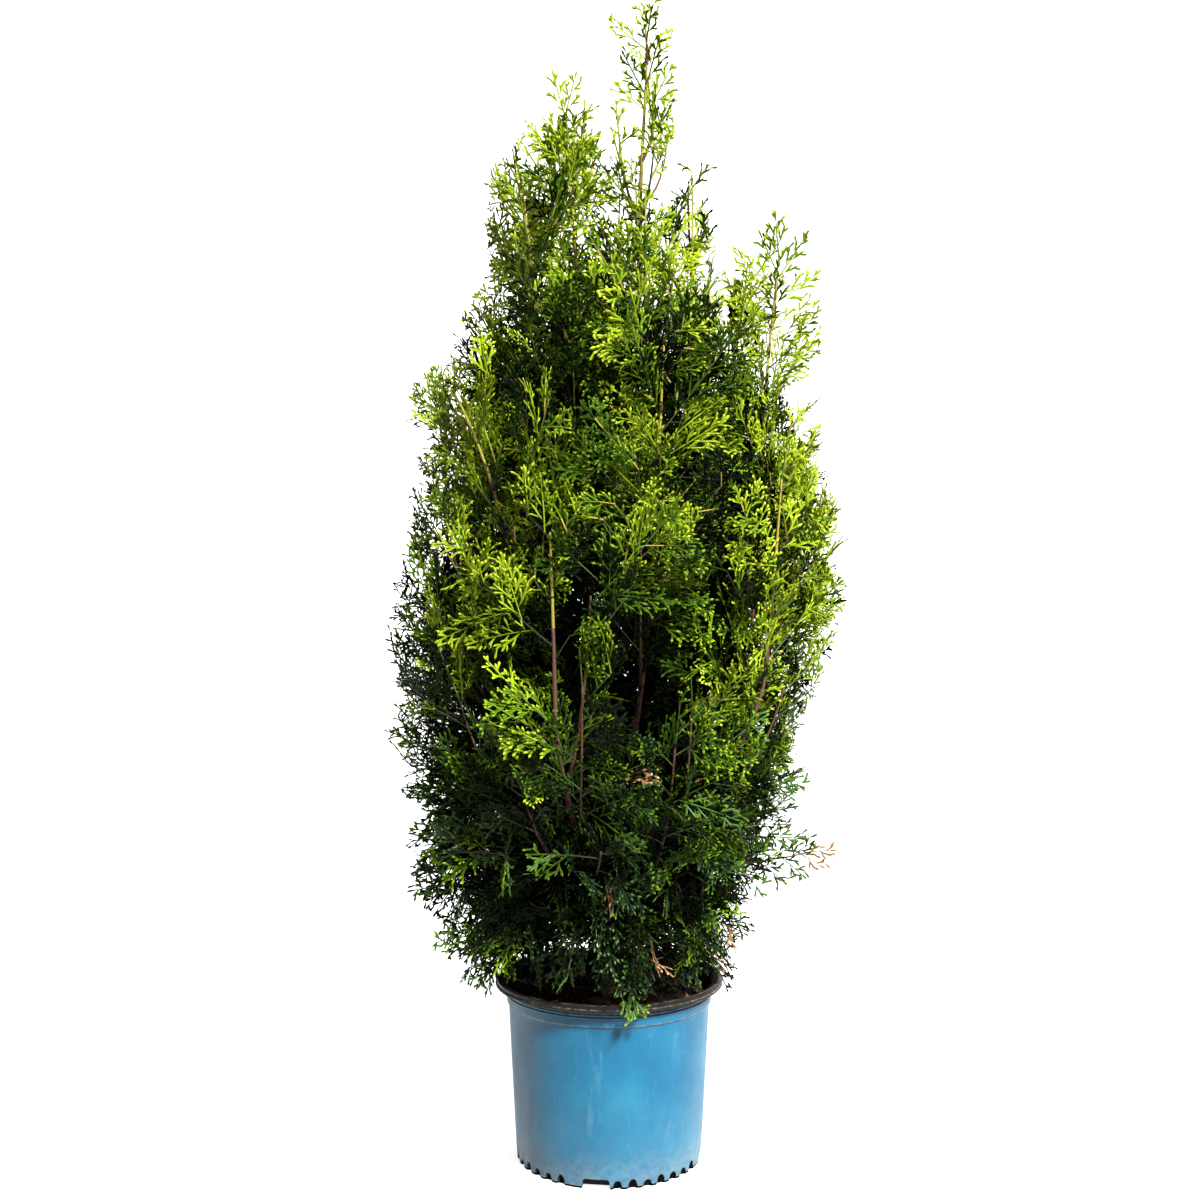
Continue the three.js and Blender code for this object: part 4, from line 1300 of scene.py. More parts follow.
def twigMaterial(name, hexCode, roughness):
    material, shader = newMaterial(name, {"Roughness": roughness, "IOR": 1.5, "Base Color": linear(hexCode)})
    where = addNode(material, "TexCoord").outputs["Object"]
    grain = addNode(material, "TexNoise", {"Scale": 1 / (1.5 * mm), "Detail": 4}, {"Vector": where})
    relief = addNode(material, "Bump", {"Strength": 0.4, "Distance": 0.3 * mm},
                     {"Height": grain.outputs["Fac"]})
    link(material, shader, {"Normal": relief.outputs["Normal"]})
    return material


twigOld = twigMaterial("thin bark, red-brown, peeling", twigColors["old"], 0.8)
twigYoung = twigMaterial("green wood, golden, smooth", twigColors["golden"], 0.6)
twigGreen = twigMaterial("green wood, smooth", twigColors["green"], 0.6)
twigInner = twigMaterial("thin bark, dark brown", twigColors["inner"], 0.85)

# The spine of each spray is a rod of four points, thicker near the top. Its first half may be golden.
spine = {
    "shares": [0, 0.4, 0.75, 1], "radii": [1, 0.95, 0.85, 0], "least": 0.3, "thickAbove": 1050,
    "thicker": 1.3, "goldenFaces": 7, "goldenEvery": 3, "goldenAbove": 700,
}
spineLines = onSpines(np.array(spine["shares"])[None])
spineRadii = (frondRadius[:, None] * np.array(spine["radii"])[None]) + spine["least"]
spineRadii *= np.where(frondRoot[:, 2] > spine["thickAbove"], spine["thicker"], 1)[:, None]
spineKeep = keeps(spineLines[:, 2], frondMass)
spineFaces = rodFaces(len(spine["shares"]))
spineIsYoung = np.arange(len(spineFaces)) < spine["goldenFaces"]


# Collects one kind of shape for a set of sprays.
def collect(vertices, faces, numbers, shapes, pattern, faceNumbers):
    start = sum(len(part) for part in vertices)
    count = len(shapes)
    if count == 0:
        return
    corners = shapes.shape[1]
    vertices.append(shapes.reshape(-1, 3))
    offsets = start + np.arange(count)[:, None, None] * corners
    faces.append((pattern[None] + offsets).reshape(-1, 3))
    numbers.append(faceNumbers.reshape(-1))


def sprayPiece(name, massNumbers, slot, nodes):
    vertices, faces, numbers = [], [], []
    mine = np.isin(frondMass, massNumbers)
    mineSide = mine[sideOwner] & keepSide
    short, long = (shortShoots, shortFaces, shortIsTip), (longShoots, longFaces, longIsTip)
    for pick, own, parts, (make, pattern, isTip) in (
        (mine[lastOwner] & keepLast, lastOwner, (lastBase, lastAhead, lastFace, lastLength), short),
        (mineSide & ~isCurved, sideOwner, (sideBase, sideAhead, sideFace, sideLength), short),
        (mineSide & isCurved, sideOwner, (sideBase, sideAhead, sideCurl, sideFace, sideLength), long),
    ):
        own = own[pick]
        shapes = make(*(part[pick] for part in parts), width[own])
        tints = np.where(isTip[None] == 1, tipNumber[own][:, None], bodyNumber[own][:, None])
        collect(vertices, faces, numbers, shapes, pattern, tints)
    pick = mine & spineKeep
    shapes = rods(spineLines[pick], spineRadii[pick], frondFace[pick])
    isGolden = (bodyNumber[pick] < firstCool) & (pick.nonzero()[0] % spine["goldenEvery"] == 0)
    isGolden &= frondRoot[pick, 2] > spine["goldenAbove"]
    foot = np.where(isGolden, len(leafShades), bodyNumber[pick])
    tints = np.where(spineIsYoung[None], foot[:, None], bodyNumber[pick][:, None])
    collect(vertices, faces, numbers, shapes, spineFaces, tints)
    vertices, faces, numbers = (np.concatenate(part) for part in (vertices, faces, numbers))
    used = np.unique(numbers)
    materials = [(leafMaterials + [twigYoung])[number] for number in used]
    piece = meshObject(name, vertices, faces, materials, np.searchsorted(used, numbers))
    dress(piece, slot, *nodes)
    print(name, len(faces), "faces")
    return len(faces)


# Pieces: each is a group of masses of about the same number of shoots.
def groupOf(prefixes):
    starts = tuple("foliage_" + prefix for prefix in prefixes)
    return [i for i, name in enumerate(massNames) if name.startswith(starts)]


sprayGroups = {
    "sprays_top": ("fresh_foliage", ["top", "spire", "tall_left"]),
    "sprays_upper_left": ("fresh_foliage", ["mid_left", "leaning_left"]),
    "sprays_upper_right": ("fresh_foliage", ["tall_right", "far_right", "inner_right"]),
    "sprays_front": ("fresh_foliage", ["front"]),
    "sprays_back": ("fresh_foliage", ["back", "far_left"]),
    "sprays_inner": ("foliage", ["inner_1", "inner_2", "inner_3", "inner_4"]),
    "sprays_middle": ("foliage", ["middle"]),
    "sprays_lower": ("foliage", ["lower"]),
    "sprays_skirt": ("foliage", ["skirt"]),
    "sprays_withered": ("withered_foliage", ["withered"]),
}
total = 0
for pieceName, (slot, prefixes) in sprayGroups.items():
    numbers = groupOf(prefixes)
    total += sprayPiece(pieceName, numbers, slot, [massNames[i] for i in numbers])
print("spray faces in all:", total)


# Stems of the masses and twigs of the branchlets.
def twigPiece(name, lines, sides, material):
    vertices, faces = [], []
    start = 0
    for points, foot, tip in lines:
        steps = len(points)
        ahead = unit(np.gradient(points, axis=0))
        across = unit(np.cross(ahead, np.array([0, 1, 0.3])))
        up = np.cross(across, ahead)
        radii = np.linspace(foot, tip, steps)
        turns = evenTurns(sides)
        ring = across[:, None] * np.cos(turns)[None, :, None] + up[:, None] * np.sin(turns)[None, :, None]
        vertices.append((points[:, None] + ring * radii[:, None, None]).reshape(-1, 3))
        vertices.append(points[[-1]] + ahead[[-1]] * tip)
        for i in range(steps - 1):
            for s in range(sides):
                a, b = start + i * sides + s, start + i * sides + (s + 1) % sides
                faces += [[a, a + sides, b + sides], [a, b + sides, b]]
        last = start + (steps - 1) * sides
        faces += [[last + (s + 1) % sides, last + s, last + sides] for s in range(sides)]
        start += steps * sides + 1
    piece = meshObject(name, np.concatenate(vertices), np.array(faces), [material], smooth=True)
    dress(piece, "bark")
    print(name, len(faces), "faces")


# Radii in millimetres, at the foot and the tip. The upper part of a plume's stem is young, golden wood.
twigShape = {
    "stem": [stemRule["foot"], stemRule["tip"]], "fine": [2, 1], "withered": [1.6, 0.7],
    "fresh": [1.5, 1.0], "twig": [1.0, 0.6], "steps": 16, "twigSteps": 6,
    "pastLast": 0.03, "witheredEnd": 0.86, "youngFrom": 0.45, "youngLeast": 0.5, "least": 0.05,
    "freshAbove": 1060, "goldenAbove": 700, "golden": 0.08, "green": 0.7, "outside": 0.95,
    "highAbove": 900, "highShare": 0.25,
}


def stemPart(number, start, end):
    radii = twigShape["stem" if number < frameMasses else "fine"]
    if number == witheredMass:
        radii = twigShape["withered"]
    foot, tip = (radii[0] + (radii[1] - radii[0]) * share for share in (start, end))
    shares = np.linspace(start, end, twigShape["steps"])
    return np.array([alongLine(masses[number]["line"], share) for share in shares]), foot, tip


# Stems end just past their last branchlet, except those whose last sprays are listed one by one.
stemEnds = np.minimum(stemEnds + twigShape["pastLast"], 1)
stemEnds[witheredMass] = twigShape["witheredEnd"]
for massName, tips in plumeTips.items():
    stemEnds[massNames.index(massName)] = tips["stemEnd"]
oldParts, youngParts, fineParts = [], [], []
for number, mass in enumerate(masses):
    if mass["terminal"] and stemEnds[number] > twigShape["youngLeast"]:
        oldParts.append(stemPart(number, 0, twigShape["youngFrom"]))
        youngParts.append(stemPart(number, twigShape["youngFrom"], stemEnds[number]))
    elif stemEnds[number] > twigShape["least"]:
        (oldParts if number < frameMasses else fineParts).append(stemPart(number, 0, stemEnds[number]))
twigPiece("stems", oldParts, 7, twigOld)
twigPiece("stems_young", youngParts, 7, twigYoung)
twigPiece("stems_fine", fineParts, 6, twigMaterial("thin bark, olive-brown", twigColors["fine"], 0.75))


def twigKind(height, depth, pick):
    if height > twigShape["freshAbove"]:
        return "fresh"
    if pick < twigShape["golden"] and height > twigShape["goldenAbove"]:
        return "golden"
    return "green" if depth < twigShape["outside"] and pick < twigShape["green"] else "inner"


twigs = {"golden": [], "fresh": [], "green": [], "inner": []}
for (root, ahead, bend, pick), end in zip(twigLines, twigEnds):
    if end > 0:
        shares = np.linspace(0, end, twigShape["twigSteps"])[:, None]
        line = root + ahead * shares + bend * shares**2
        height = line[-1][2]
        depth = crownShare(line[-1]) - twigShape["highShare"] * (height > twigShape["highAbove"])
        kind = twigKind(height, depth, pick)
        twigs[kind].append((line, *twigShape["fresh" if kind == "fresh" else "twig"]))
twigPiece("twigs_golden", twigs["golden"], 4, twigYoung)
twigPiece("twigs_fresh", twigs["fresh"], 4, twigMaterial("green wood, fresh", twigColors["fresh"], 0.6))
twigPiece("twigs_green", twigs["green"], 4, twigGreen)
twigPiece("twigs_inner", twigs["inner"], 4, twigInner)


# Bark: a relief of long furrows on the trunk and boughs. Each has its rings, its sides and its first share.
barkShape = {"trunk": [220, 28, 0.0035], "bough": [90, 14, 0], "furrow": 0.09}


def barkMaterial():
    material, shader = newMaterial("arborvitae bark, red-brown, fibrous", {"Roughness": 0.82, "IOR": 1.5})
    where = addNode(material, "TexCoord").outputs["Object"]
    # fibres run along the stem, about 1.5 mm wide and 25 mm long
    stretch = addNode(material, "Mapping", {"Scale": (1, 1, 0.06)}, {"Vector": where})
    fibres = addNode(material, "TexNoise", {"Scale": 1 / (1.5 * mm), "Detail": 6, "Roughness": 0.6},
                     {"Vector": stretch.outputs["Vector"]})
    tone = addNode(material, "ValToRGB", {}, {"Fac": fibres.outputs["Fac"]})
    rampStops(tone, [(0.3, "#3A2118"), (0.5, "#74493A"), (0.68, "#A98273")])
    relief = addNode(material, "Bump", {"Strength": 0.6, "Distance": 0.5 * mm},
                     {"Height": fibres.outputs["Fac"]})
    # the leader's last year of wood is green and golden
    heights = addNode(material, "SeparateXYZ", {}, {"Vector": where})
    young = addNode(material, "MapRange", {"From Min": 1.1, "From Max": 1.24, "To Max": 0.9},
                    {"Value": heights.outputs["Z"]})
    greened = addNode(material, "Mix", {"data_type": "RGBA", 7: linear("#9C9636")},
                      {0: young.outputs["Result"], 6: tone.outputs["Color"]})
    link(material, shader, {"Base Color": greened.outputs[2], "Normal": relief.outputs["Normal"]})
    return material


bark = barkMaterial()


def barkPiece(name, pointAt, radiusAt, rings, sides, firstShare):
    shares = np.linspace(firstShare, 1, rings)
    center = np.array([pointAt(share) for share in shares])
    radius = np.array([radiusAt(share) for share in shares])
    ahead = unit(np.gradient(center, axis=0))
    across = unit(np.cross([0, 1, 0], ahead))
    aside = np.cross(ahead, across)
    turn = evenTurns(sides)
    along = center[:, 2][:, None]
    twist = 0.5 * np.sin(along / 41 + 1.7) + 0.3 * np.sin(along / 17)
    furrows = np.abs(np.sin(2.5 * (turn[None] + twist) + 0.4 * np.sin(along / 9)))
    furrows = 0.6 * furrows + 0.4 * np.abs(np.sin(5.5 * turn[None] - along / 23 + np.sin(along / 7)))
    knots = 0.06 * np.sin(along / 13.3) * np.sin(along / 31 + 2 * turn[None])
    reach = radius[:, None] * (1 + barkShape["furrow"] * (furrows - 0.6) + knots)
    ring = across[:, None] * np.cos(turn)[None, :, None] + aside[:, None] * np.sin(turn)[None, :, None]
    wall = (center[:, None] + ring * reach[..., None]).reshape(-1, 3)
    vertices = np.concatenate([wall, center[[0]], center[[-1]]])
    return meshObject(name, vertices, turnedFaces(rings, sides), [bark], smooth=True)


for limbName, limb in limbs.items():
    kind = "trunk" if limbName == "trunk" else "bough"
    dress(barkPiece(limbName + "_bark", *limb, *barkShape[kind]), "bark", limbName)
print("bark done")


# Pot: a turned shell with a rolled lip, fine ridges, a step, scooped dents at the foot and four slots.
pot = {
    "foot": 113.5, "step": 123.5, "stepHeight": 191, "floor": 3, "floorReach": 60,
    "inside": 111.1, "middle": 118.5, "middleHeight": 140,
    "columns": 540, "footRows": 16, "sharp": 38, "blue": "#106F94", "black": "#08090A",
    "notches": 4, "notchTurn": -98, "notchFoot": 17.5, "notchTop": 13.5, "notchHeight": 12,
    "dents": 7, "firstDent": 12.5, "dentPitch": 9.2, "dentWidth": 5.6, "dentHeight": 10.5, "dentDepth": 3.4,
    # how deep a dent's faces turn black: worn plastic, and painted shade in the hollows
    "worn": 0.3,
}

# Radii and heights of rings: the blue ones from the step up to the lip, then the black ones over it and down.
blueRings = [
    (123.6, 189.6), (124.0, 190.4), (125.0, 190.9), (125.6, 191.6), (125.7, 192.6), (125.9, 195),
    (126.3, 199.2), (126.4, 200.6), (127.2, 201.3), (127.5, 202.1), (127.2, 202.9), (126.4, 203.5),
    (126.5, 204.5), (127.3, 205.1), (127.6, 205.8), (127.3, 206.5), (126.6, 207.1), (127.0, 208.4),
]
blackRings = [
    (128.4, 209.3), (131.8, 210.1), (136.2, 210.9), (138.8, 211.6), (139.8, 212.5), (140.0, 213.4),
    (139.7, 214.3), (138.9, 214.8), (138.2, 215.1), (137.9, 215.8), (138.1, 217.2), (138.3, 218.6),
    (138.0, 219.4), (137.2, 219.9), (135.6, 220.0), (133.9, 219.7), (133.0, 218.9), (132.3, 218.0),
    (131.0, 217.7), (129.4, 217.5), (128.6, 216.9), (128.1, 215.6), (127.0, 214.8), (126.2, 213.6),
    (125.6, 211.0), (124.9, 206), (123.4, 198), (121.1, 187), (118.5, 140),
]


# Each row is a radius, a height and whether its face up to the next row is blue.
def potRows():
    foot, step = pot["foot"], pot["step"]
    rows = [(foot - 1.2, 0, 0), (foot - 0.4, 0.4, 0), (foot, 1.6, 0), (foot, 2.8, 1)]
    for height in (*range(3, 15), 16, 20, 30, 50, 80, 110, 140, 165, 180, 187):
        share = (height - 2.2) / (pot["stepHeight"] - 2.2)
        rows.append((foot + (step - foot) * share, height, 1))
    rows += [(radius, height, 1) for radius, height in blueRings]
    rows += [(radius, height, 0) for radius, height in blackRings]
    for height in (16, 14, 12, 10, 8, 6, 4.5, pot["floor"]):
        share = (height - pot["floor"]) / (pot["middleHeight"] - pot["floor"])
        rows.append((pot["inside"] + (pot["middle"] - pot["inside"]) * share, height, 0))
    return np.array([*rows, (pot["floorReach"], pot["floor"], 0)])


potProfile = potRows()

# How deep the dents press the wall in at each turn and height.
dentTurns = np.array([
    pot["notchTurn"] + 90 * quarter + pot["firstDent"] + pot["dentPitch"] * number
    for quarter in range(4) for number in range(pot["dents"])
])
dentSizes = 1 + 0.15 * np.sin(np.arange(len(dentTurns)) * 2.4)


def dentInset(turn, height):
    apart = (np.degrees(turn)[..., None] - dentTurns + 180) % 360 - 180
    across = np.radians(apart) * pot["foot"] / pot["dentWidth"]
    up = np.clip(height[..., None] / (pot["dentHeight"] * dentSizes), 0, 2)
    dip = np.clip(1.2 - across**2 - up**2.4, 0, 1).max(axis=-1)
    return pot["dentDepth"] * dip**2 * (3 - 2 * dip)


def potShell():
    rows, columns = len(potProfile), pot["columns"]
    radius = np.repeat(potProfile[:, 0][:, None], columns, 1)
    height = np.repeat(potProfile[:, 1][:, None], columns, 1)
    turn = np.repeat(evenTurns(columns)[None], rows, 0)
    isWall = radius > 90
    inset = dentInset(turn, height) * isWall
    # the thin wall isn't quite round
    sway = 0.35 * np.sin(2 * turn + 0.7) + 0.2 * np.sin(5 * turn + 2) * (height > 20)
    radius = radius - inset + sway * np.clip(height / 60, 0, 1) * isWall
    vertices = np.stack([radius * np.cos(turn), radius * np.sin(turn), height], -1).reshape(-1, 3)
    vertices = np.concatenate([vertices, [[0, 0, 0], [0, 0, pot["floor"]]]])
    # faces deep in the dents take the black materials: worn plastic, and painted shade in the hollows
    isBlue = (potProfile[:-1, 2][:, None] > 0) & (inset[:-1] < pot["worn"] * pot["dentDepth"])
    isFoot = np.repeat(np.arange(rows - 1) < pot["footRows"], columns)
    numbers = np.where(isBlue.ravel(), 0, np.where(isFoot, 2, 1))
    numbers = np.concatenate([numbers, numbers, np.ones(2 * columns, int)])
    depths = np.concatenate([inset.ravel() / pot["dentDepth"], [0, 0]])
    return vertices, turnedFaces(rows, columns), numbers, depths


def bluePlastic():
    # polypropylene, blow moulded: satin, with a cloudy film, fine rubs and dirt in the grooves
    material, shader = newMaterial("polypropylene, blow moulded, blue",
                                   {"IOR": 1.49, "Specular IOR Level": 0.45})
    where = addNode(material, "TexCoord").outputs["Object"]
    cloud = addNode(material, "TexNoise", {"Scale": 1 / (70 * mm), "Detail": 5, "Roughness": 0.6},
                    {"Vector": where})
    tone = addNode(material, "ValToRGB", {}, {"Fac": cloud.outputs["Fac"]})
    rampStops(tone, [(0.32, "#0A6388"), (0.5, pot["blue"]), (0.7, "#29809F")])
    # chalky rubs, upright and about 55 mm long
    rubMap = addNode(material, "Mapping", {"Scale": (1, 1, 0.25)}, {"Vector": where})
    rubs = addNode(material, "TexNoise", {"Scale": 1 / (14 * mm), "Detail": 7, "Roughness": 0.7},
                   {"Vector": rubMap.outputs["Vector"]})
    rubAmount = addNode(material, "MapRange",
                        {"From Min": 0.56, "From Max": 0.8, "To Max": 0.3},
                        {"Value": rubs.outputs["Fac"]})
    rubbed = addNode(material, "Mix", {"data_type": "RGBA", 7: linear("#8DB7CC")},
                     {0: rubAmount.outputs["Result"], 6: tone.outputs["Color"]})
    # hair-thin scratches run nearly level
    scratchMap = addNode(material, "Mapping", {"Scale": (0.1, 0.1, 1), "Rotation": (0.15, 0.1, 0)},
                         {"Vector": where})
    scratches = addNode(material, "TexNoise", {"Scale": 1 / (2.2 * mm), "Detail": 3},
                        {"Vector": scratchMap.outputs["Vector"]})
    patches = addNode(material, "TexNoise", {"Scale": 1 / (45 * mm), "Detail": 2}, {"Vector": where})
    fine = addNode(material, "MapRange", {"From Min": 0.69, "From Max": 0.78},
                   {"Value": scratches.outputs["Fac"]})
    scratched = addNode(material, "MapRange",
                        {"From Min": 0.52, "From Max": 0.68, "To Max": 0.3},
                        {"Value": patches.outputs["Fac"]})
    scratchAmount = addNode(material, "Math", {"operation": "MULTIPLY"},
                            {0: fine.outputs["Result"], 1: scratched.outputs["Result"]})
    lined = addNode(material, "Mix", {"data_type": "RGBA", 7: linear("#A9CCDC")},
                    {0: scratchAmount.outputs[0], 6: rubbed.outputs[2]})
    heights = addNode(material, "SeparateXYZ", {}, {"Vector": where})
    height = heights.outputs["Z"]
    # a pale haze of dried splashes covers the lower wall, in patches
    hazeBand = addNode(material, "MapRange",
                       {"From Min": 10 * mm, "From Max": 115 * mm, "To Min": 0.42, "To Max": 0.0},
                       {"Value": height})
    haze = addNode(material, "TexNoise", {"Scale": 1 / (26 * mm), "Detail": 8, "Roughness": 0.75},
                   {"Vector": where})
    hazePatches = addNode(material, "MapRange",
                          {"From Min": 0.34, "From Max": 0.66, "To Min": 0.15, "To Max": 0.9},
                          {"Value": haze.outputs["Fac"]})
    hazeAmount = addNode(material, "Math", {"operation": "MULTIPLY"},
                         {0: hazeBand.outputs["Result"], 1: hazePatches.outputs["Result"]})
    hazy = addNode(material, "Mix", {"data_type": "RGBA", 7: linear("#6F8F99")},
                   {0: hazeAmount.outputs[0], 6: lined.outputs[2]})
    # tan dirt lies at the foot, on the step, in the grooves and under the lip
    scaled = addNode(material, "MapRange",
                     {"From Max": potHeight * mm},
                     {"Value": height})
    dirtBands = addNode(material, "ValToRGB", {}, {"Fac": scaled.outputs["Result"]})
    none, some, most = 0, 0.3, 0.9
    stops = [(0.0, most), (3, some), (45, none), (189.8, none), (190.7, most), (191.7, most), (192.6, none),
             (200.2, none), (200.9, some), (201.8, none), (203.4, some), (204.8, some), (205.6, none),
             (206.9, some), (208.6, most)]
    rampStops(dirtBands, [(at / potHeight, value) for at, value in stops])
    grime = addNode(material, "TexNoise", {"Scale": 1 / (9 * mm), "Detail": 8, "Roughness": 0.72},
                    {"Vector": where})
    grimeAmount = addNode(material, "MapRange",
                          {"From Min": 0.38, "From Max": 0.6},
                          {"Value": grime.outputs["Fac"]})
    dirt = addNode(material, "Math", {"operation": "MULTIPLY"},
                   {0: grimeAmount.outputs["Result"], 1: dirtBands.outputs["Color"]})
    soiled = addNode(material, "Mix", {"data_type": "RGBA", 7: linear("#B9AD9B")},
                     {0: dirt.outputs[0], 6: hazy.outputs[2]})
    # the dents are worn down to the black layer, and darkened near to black as painted shade in their hollows
    dent = addNode(material, "Attribute", {"attribute_name": "dent"})
    worn = addNode(material, "MapRange", {"From Min": 0.08, "From Max": 0.4, "To Max": 0.95},
                   {"Value": dent.outputs["Fac"]})
    scooped = addNode(material, "Mix", {"data_type": "RGBA", 7: linear("#050D10")},
                      {0: worn.outputs["Result"], 6: soiled.outputs[2]})
    link(material, shader, {"Base Color": scooped.outputs[2]})
    rough = addNode(material, "MapRange", {"From Min": 0.3, "From Max": 0.7, "To Min": 0.36, "To Max": 0.55},
                    {"Value": rubs.outputs["Fac"]})
    link(material, shader, {"Roughness": rough.outputs["Result"]})
    relief = addNode(material, "Bump", {"Strength": 0.25, "Distance": 0.4 * mm},
                     {"Height": grime.outputs["Fac"]})
    link(material, shader, {"Normal": relief.outputs["Normal"]})
    return material


def blackPlastic():
    # the inner layer of the wall: satin black, with tan dust, a line of dirt on the lip's lower ledge and a
    # painted highlight of tan along the lip's top edge
    material, shader = newMaterial("polypropylene, blow moulded, black",
                                   {"IOR": 1.49, "Specular IOR Level": 0.22})
    where = addNode(material, "TexCoord").outputs["Object"]
    dust = addNode(material, "TexNoise", {"Scale": 1 / (8 * mm), "Detail": 8, "Roughness": 0.75},
                   {"Vector": where})
    tone = addNode(material, "ValToRGB", {}, {"Fac": dust.outputs["Fac"]})
    rampStops(tone, [(0.58, pot["black"]), (0.7, "#1E1A17"), (0.84, "#7E6A55")])
    heights = addNode(material, "SeparateXYZ", {}, {"Vector": where})
    scaled = addNode(material, "MapRange",
                     {"From Max": potHeight * mm},
                     {"Value": heights.outputs["Z"]})
    lines = addNode(material, "ValToRGB", {}, {"Fac": scaled.outputs["Result"]})
    none, some, most = 0, 0.3, 0.7
    # the tan on the lip's top edge, from 219.4 mm up, is a painted highlight
    stops = [(0, some), (9, some), (12, none), (214.1, none), (214.6, most), (215.0, most), (215.4, none),
             (219.4, none), (220, some)]
    rampStops(lines, [(at / potHeight, value) for at, value in stops])
    specks = addNode(material, "TexNoise", {"Scale": 1 / (5 * mm), "Detail": 6, "Roughness": 0.7},
                     {"Vector": where})
    speckAmount = addNode(material, "MapRange",
                          {"From Min": 0.4, "From Max": 0.62},
                          {"Value": specks.outputs["Fac"]})
    dustAndHighlightAmount = addNode(material, "Math", {"operation": "MULTIPLY"},
                         {0: speckAmount.outputs["Result"], 1: lines.outputs["Color"]})
    dustedAndHighlit = addNode(material, "Mix", {"data_type": "RGBA", 7: linear("#A78F74")},
                     {0: dustAndHighlightAmount.outputs[0], 6: tone.outputs["Color"]})
    rough = addNode(material, "MapRange", {"From Min": 0.4, "From Max": 0.7, "To Min": 0.4, "To Max": 0.75},
                    {"Value": dust.outputs["Fac"]})
    link(material, shader, {"Base Color": dustedAndHighlit.outputs[2], "Roughness": rough.outputs["Result"]})
    relief = addNode(material, "Bump", {"Strength": 0.2, "Distance": 0.3 * mm},
                     {"Height": dust.outputs["Fac"]})
    link(material, shader, {"Normal": relief.outputs["Normal"]})
    return material


def wornAndShadedPlastic():
    # the black layer where the foot is worn: matt, with tan dust in its scuffs; near black and without sheen
    # as painted shade in the dents
    material, shader = newMaterial("polypropylene, black, worn, with painted shade",
                                   {"Roughness": 0.9, "Specular IOR Level": 0.05})
    where = addNode(material, "TexCoord").outputs["Object"]
    dust = addNode(material, "TexNoise", {"Scale": 1 / (6 * mm), "Detail": 8, "Roughness": 0.75},
                   {"Vector": where})
    tone = addNode(material, "ValToRGB", {}, {"Fac": dust.outputs["Fac"]})
    rampStops(tone, [(0.54, "#050808"), (0.62, "#2A2A22"), (0.72, "#8C7C66")])
    link(material, shader, {"Base Color": tone.outputs["Color"]})
    return material


blackMaterial = blackPlastic()
vertices, faces, numbers, dentDepths = potShell()
potPiece = meshObject("pot_shell", vertices, faces, [bluePlastic(), blackMaterial, wornAndShadedPlastic()], numbers,
                      smooth=True)
potPiece.data.attributes.new("dent", "FLOAT", "POINT").data.foreach_set("value", dentDepths)


# A slot with sloping sides, cut through the wall and the edge of the floor.
def notchCutter(number, turn):
    foot, top, height = pot["notchFoot"], pot["notchTop"], pot["notchHeight"]
    outline = [(-foot, -2), (foot, -2), (foot - 1, 1), (top + 2, height - 2.2), (top + 0.6, height - 0.6),
               (top - 1.5, height), (1.5 - top, height), (-0.6 - top, height - 0.6), (-2 - top, height - 2.2),
               (1 - foot, 1)]
    a = math.radians(turn)
    out, aside = np.array([math.cos(a), math.sin(a), 0]), np.array([-math.sin(a), math.cos(a), 0])
    corners = [out * reach + aside * x + np.array([0, 0, z]) for reach in (99, 122) for x, z in outline]
    count = len(outline)
    faces = [(i, (i + 1) % count, count + (i + 1) % count) for i in range(count)]
    faces += [(i, count + (i + 1) % count, count + i) for i in range(count)]
    faces += [(0, i + 1, i) for i in range(1, count - 1)]
    faces += [(count, count + i, count + i + 1) for i in range(1, count - 1)]
    return meshObject(f"notch_{number}", np.array(corners), np.array(faces), [blackMaterial])


def cutAway(target, cutter):
    modifier = target.modifiers.new("cut", "BOOLEAN")
    modifier.object = cutter
    modifier.operation = "DIFFERENCE"
    modifier.solver = "MANIFOLD"
    modifier.material_mode = "TRANSFER"
    bpy.context.view_layer.objects.active = target
    bpy.ops.object.modifier_apply(modifier="cut")
    bpy.data.objects.remove(cutter)


for number in range(pot["notches"]):
    cutAway(potPiece, notchCutter(number, pot["notchTurn"] + 90 * number))
potPiece.data.polygons.foreach_set("use_smooth", np.full(len(potPiece.data.polygons), True))
potPiece.data.set_sharp_from_angle(angle=math.radians(pot["sharp"]))
dress(potPiece, "pot", "pot")
print("pot", len(potPiece.data.polygons), "faces")


# Potting mix: damp bark and peat, lumpy, with chips and tan scraps on top. The profile ends just under it.
mix = {
    "profile": [(0.01, 3.4), (106.6, 3.4), (107.0, 14.5), (111.3, 18), (120.0, 186), (121.4, 192)],
    "rim": 121.4, "slope": 0.7, "rings": 60, "columns": 180, "shadedRows": 3,
    "chips": 900, "chipReach": 117, "dark": "#17110D", "brown": "#3A2719", "tan": "#9A7350",
}


def lumps(x, y):
    wave = np.sin(x / 7.1 + 1.3 * np.sin(y / 11)) * np.sin(y / 6.3 + 1.1 * np.sin(x / 9))
    wave += 0.6 * np.sin(x / 3.1 + y / 4.7) * np.sin(y / 2.7 - x / 5.9)
    return 1.1 * wave


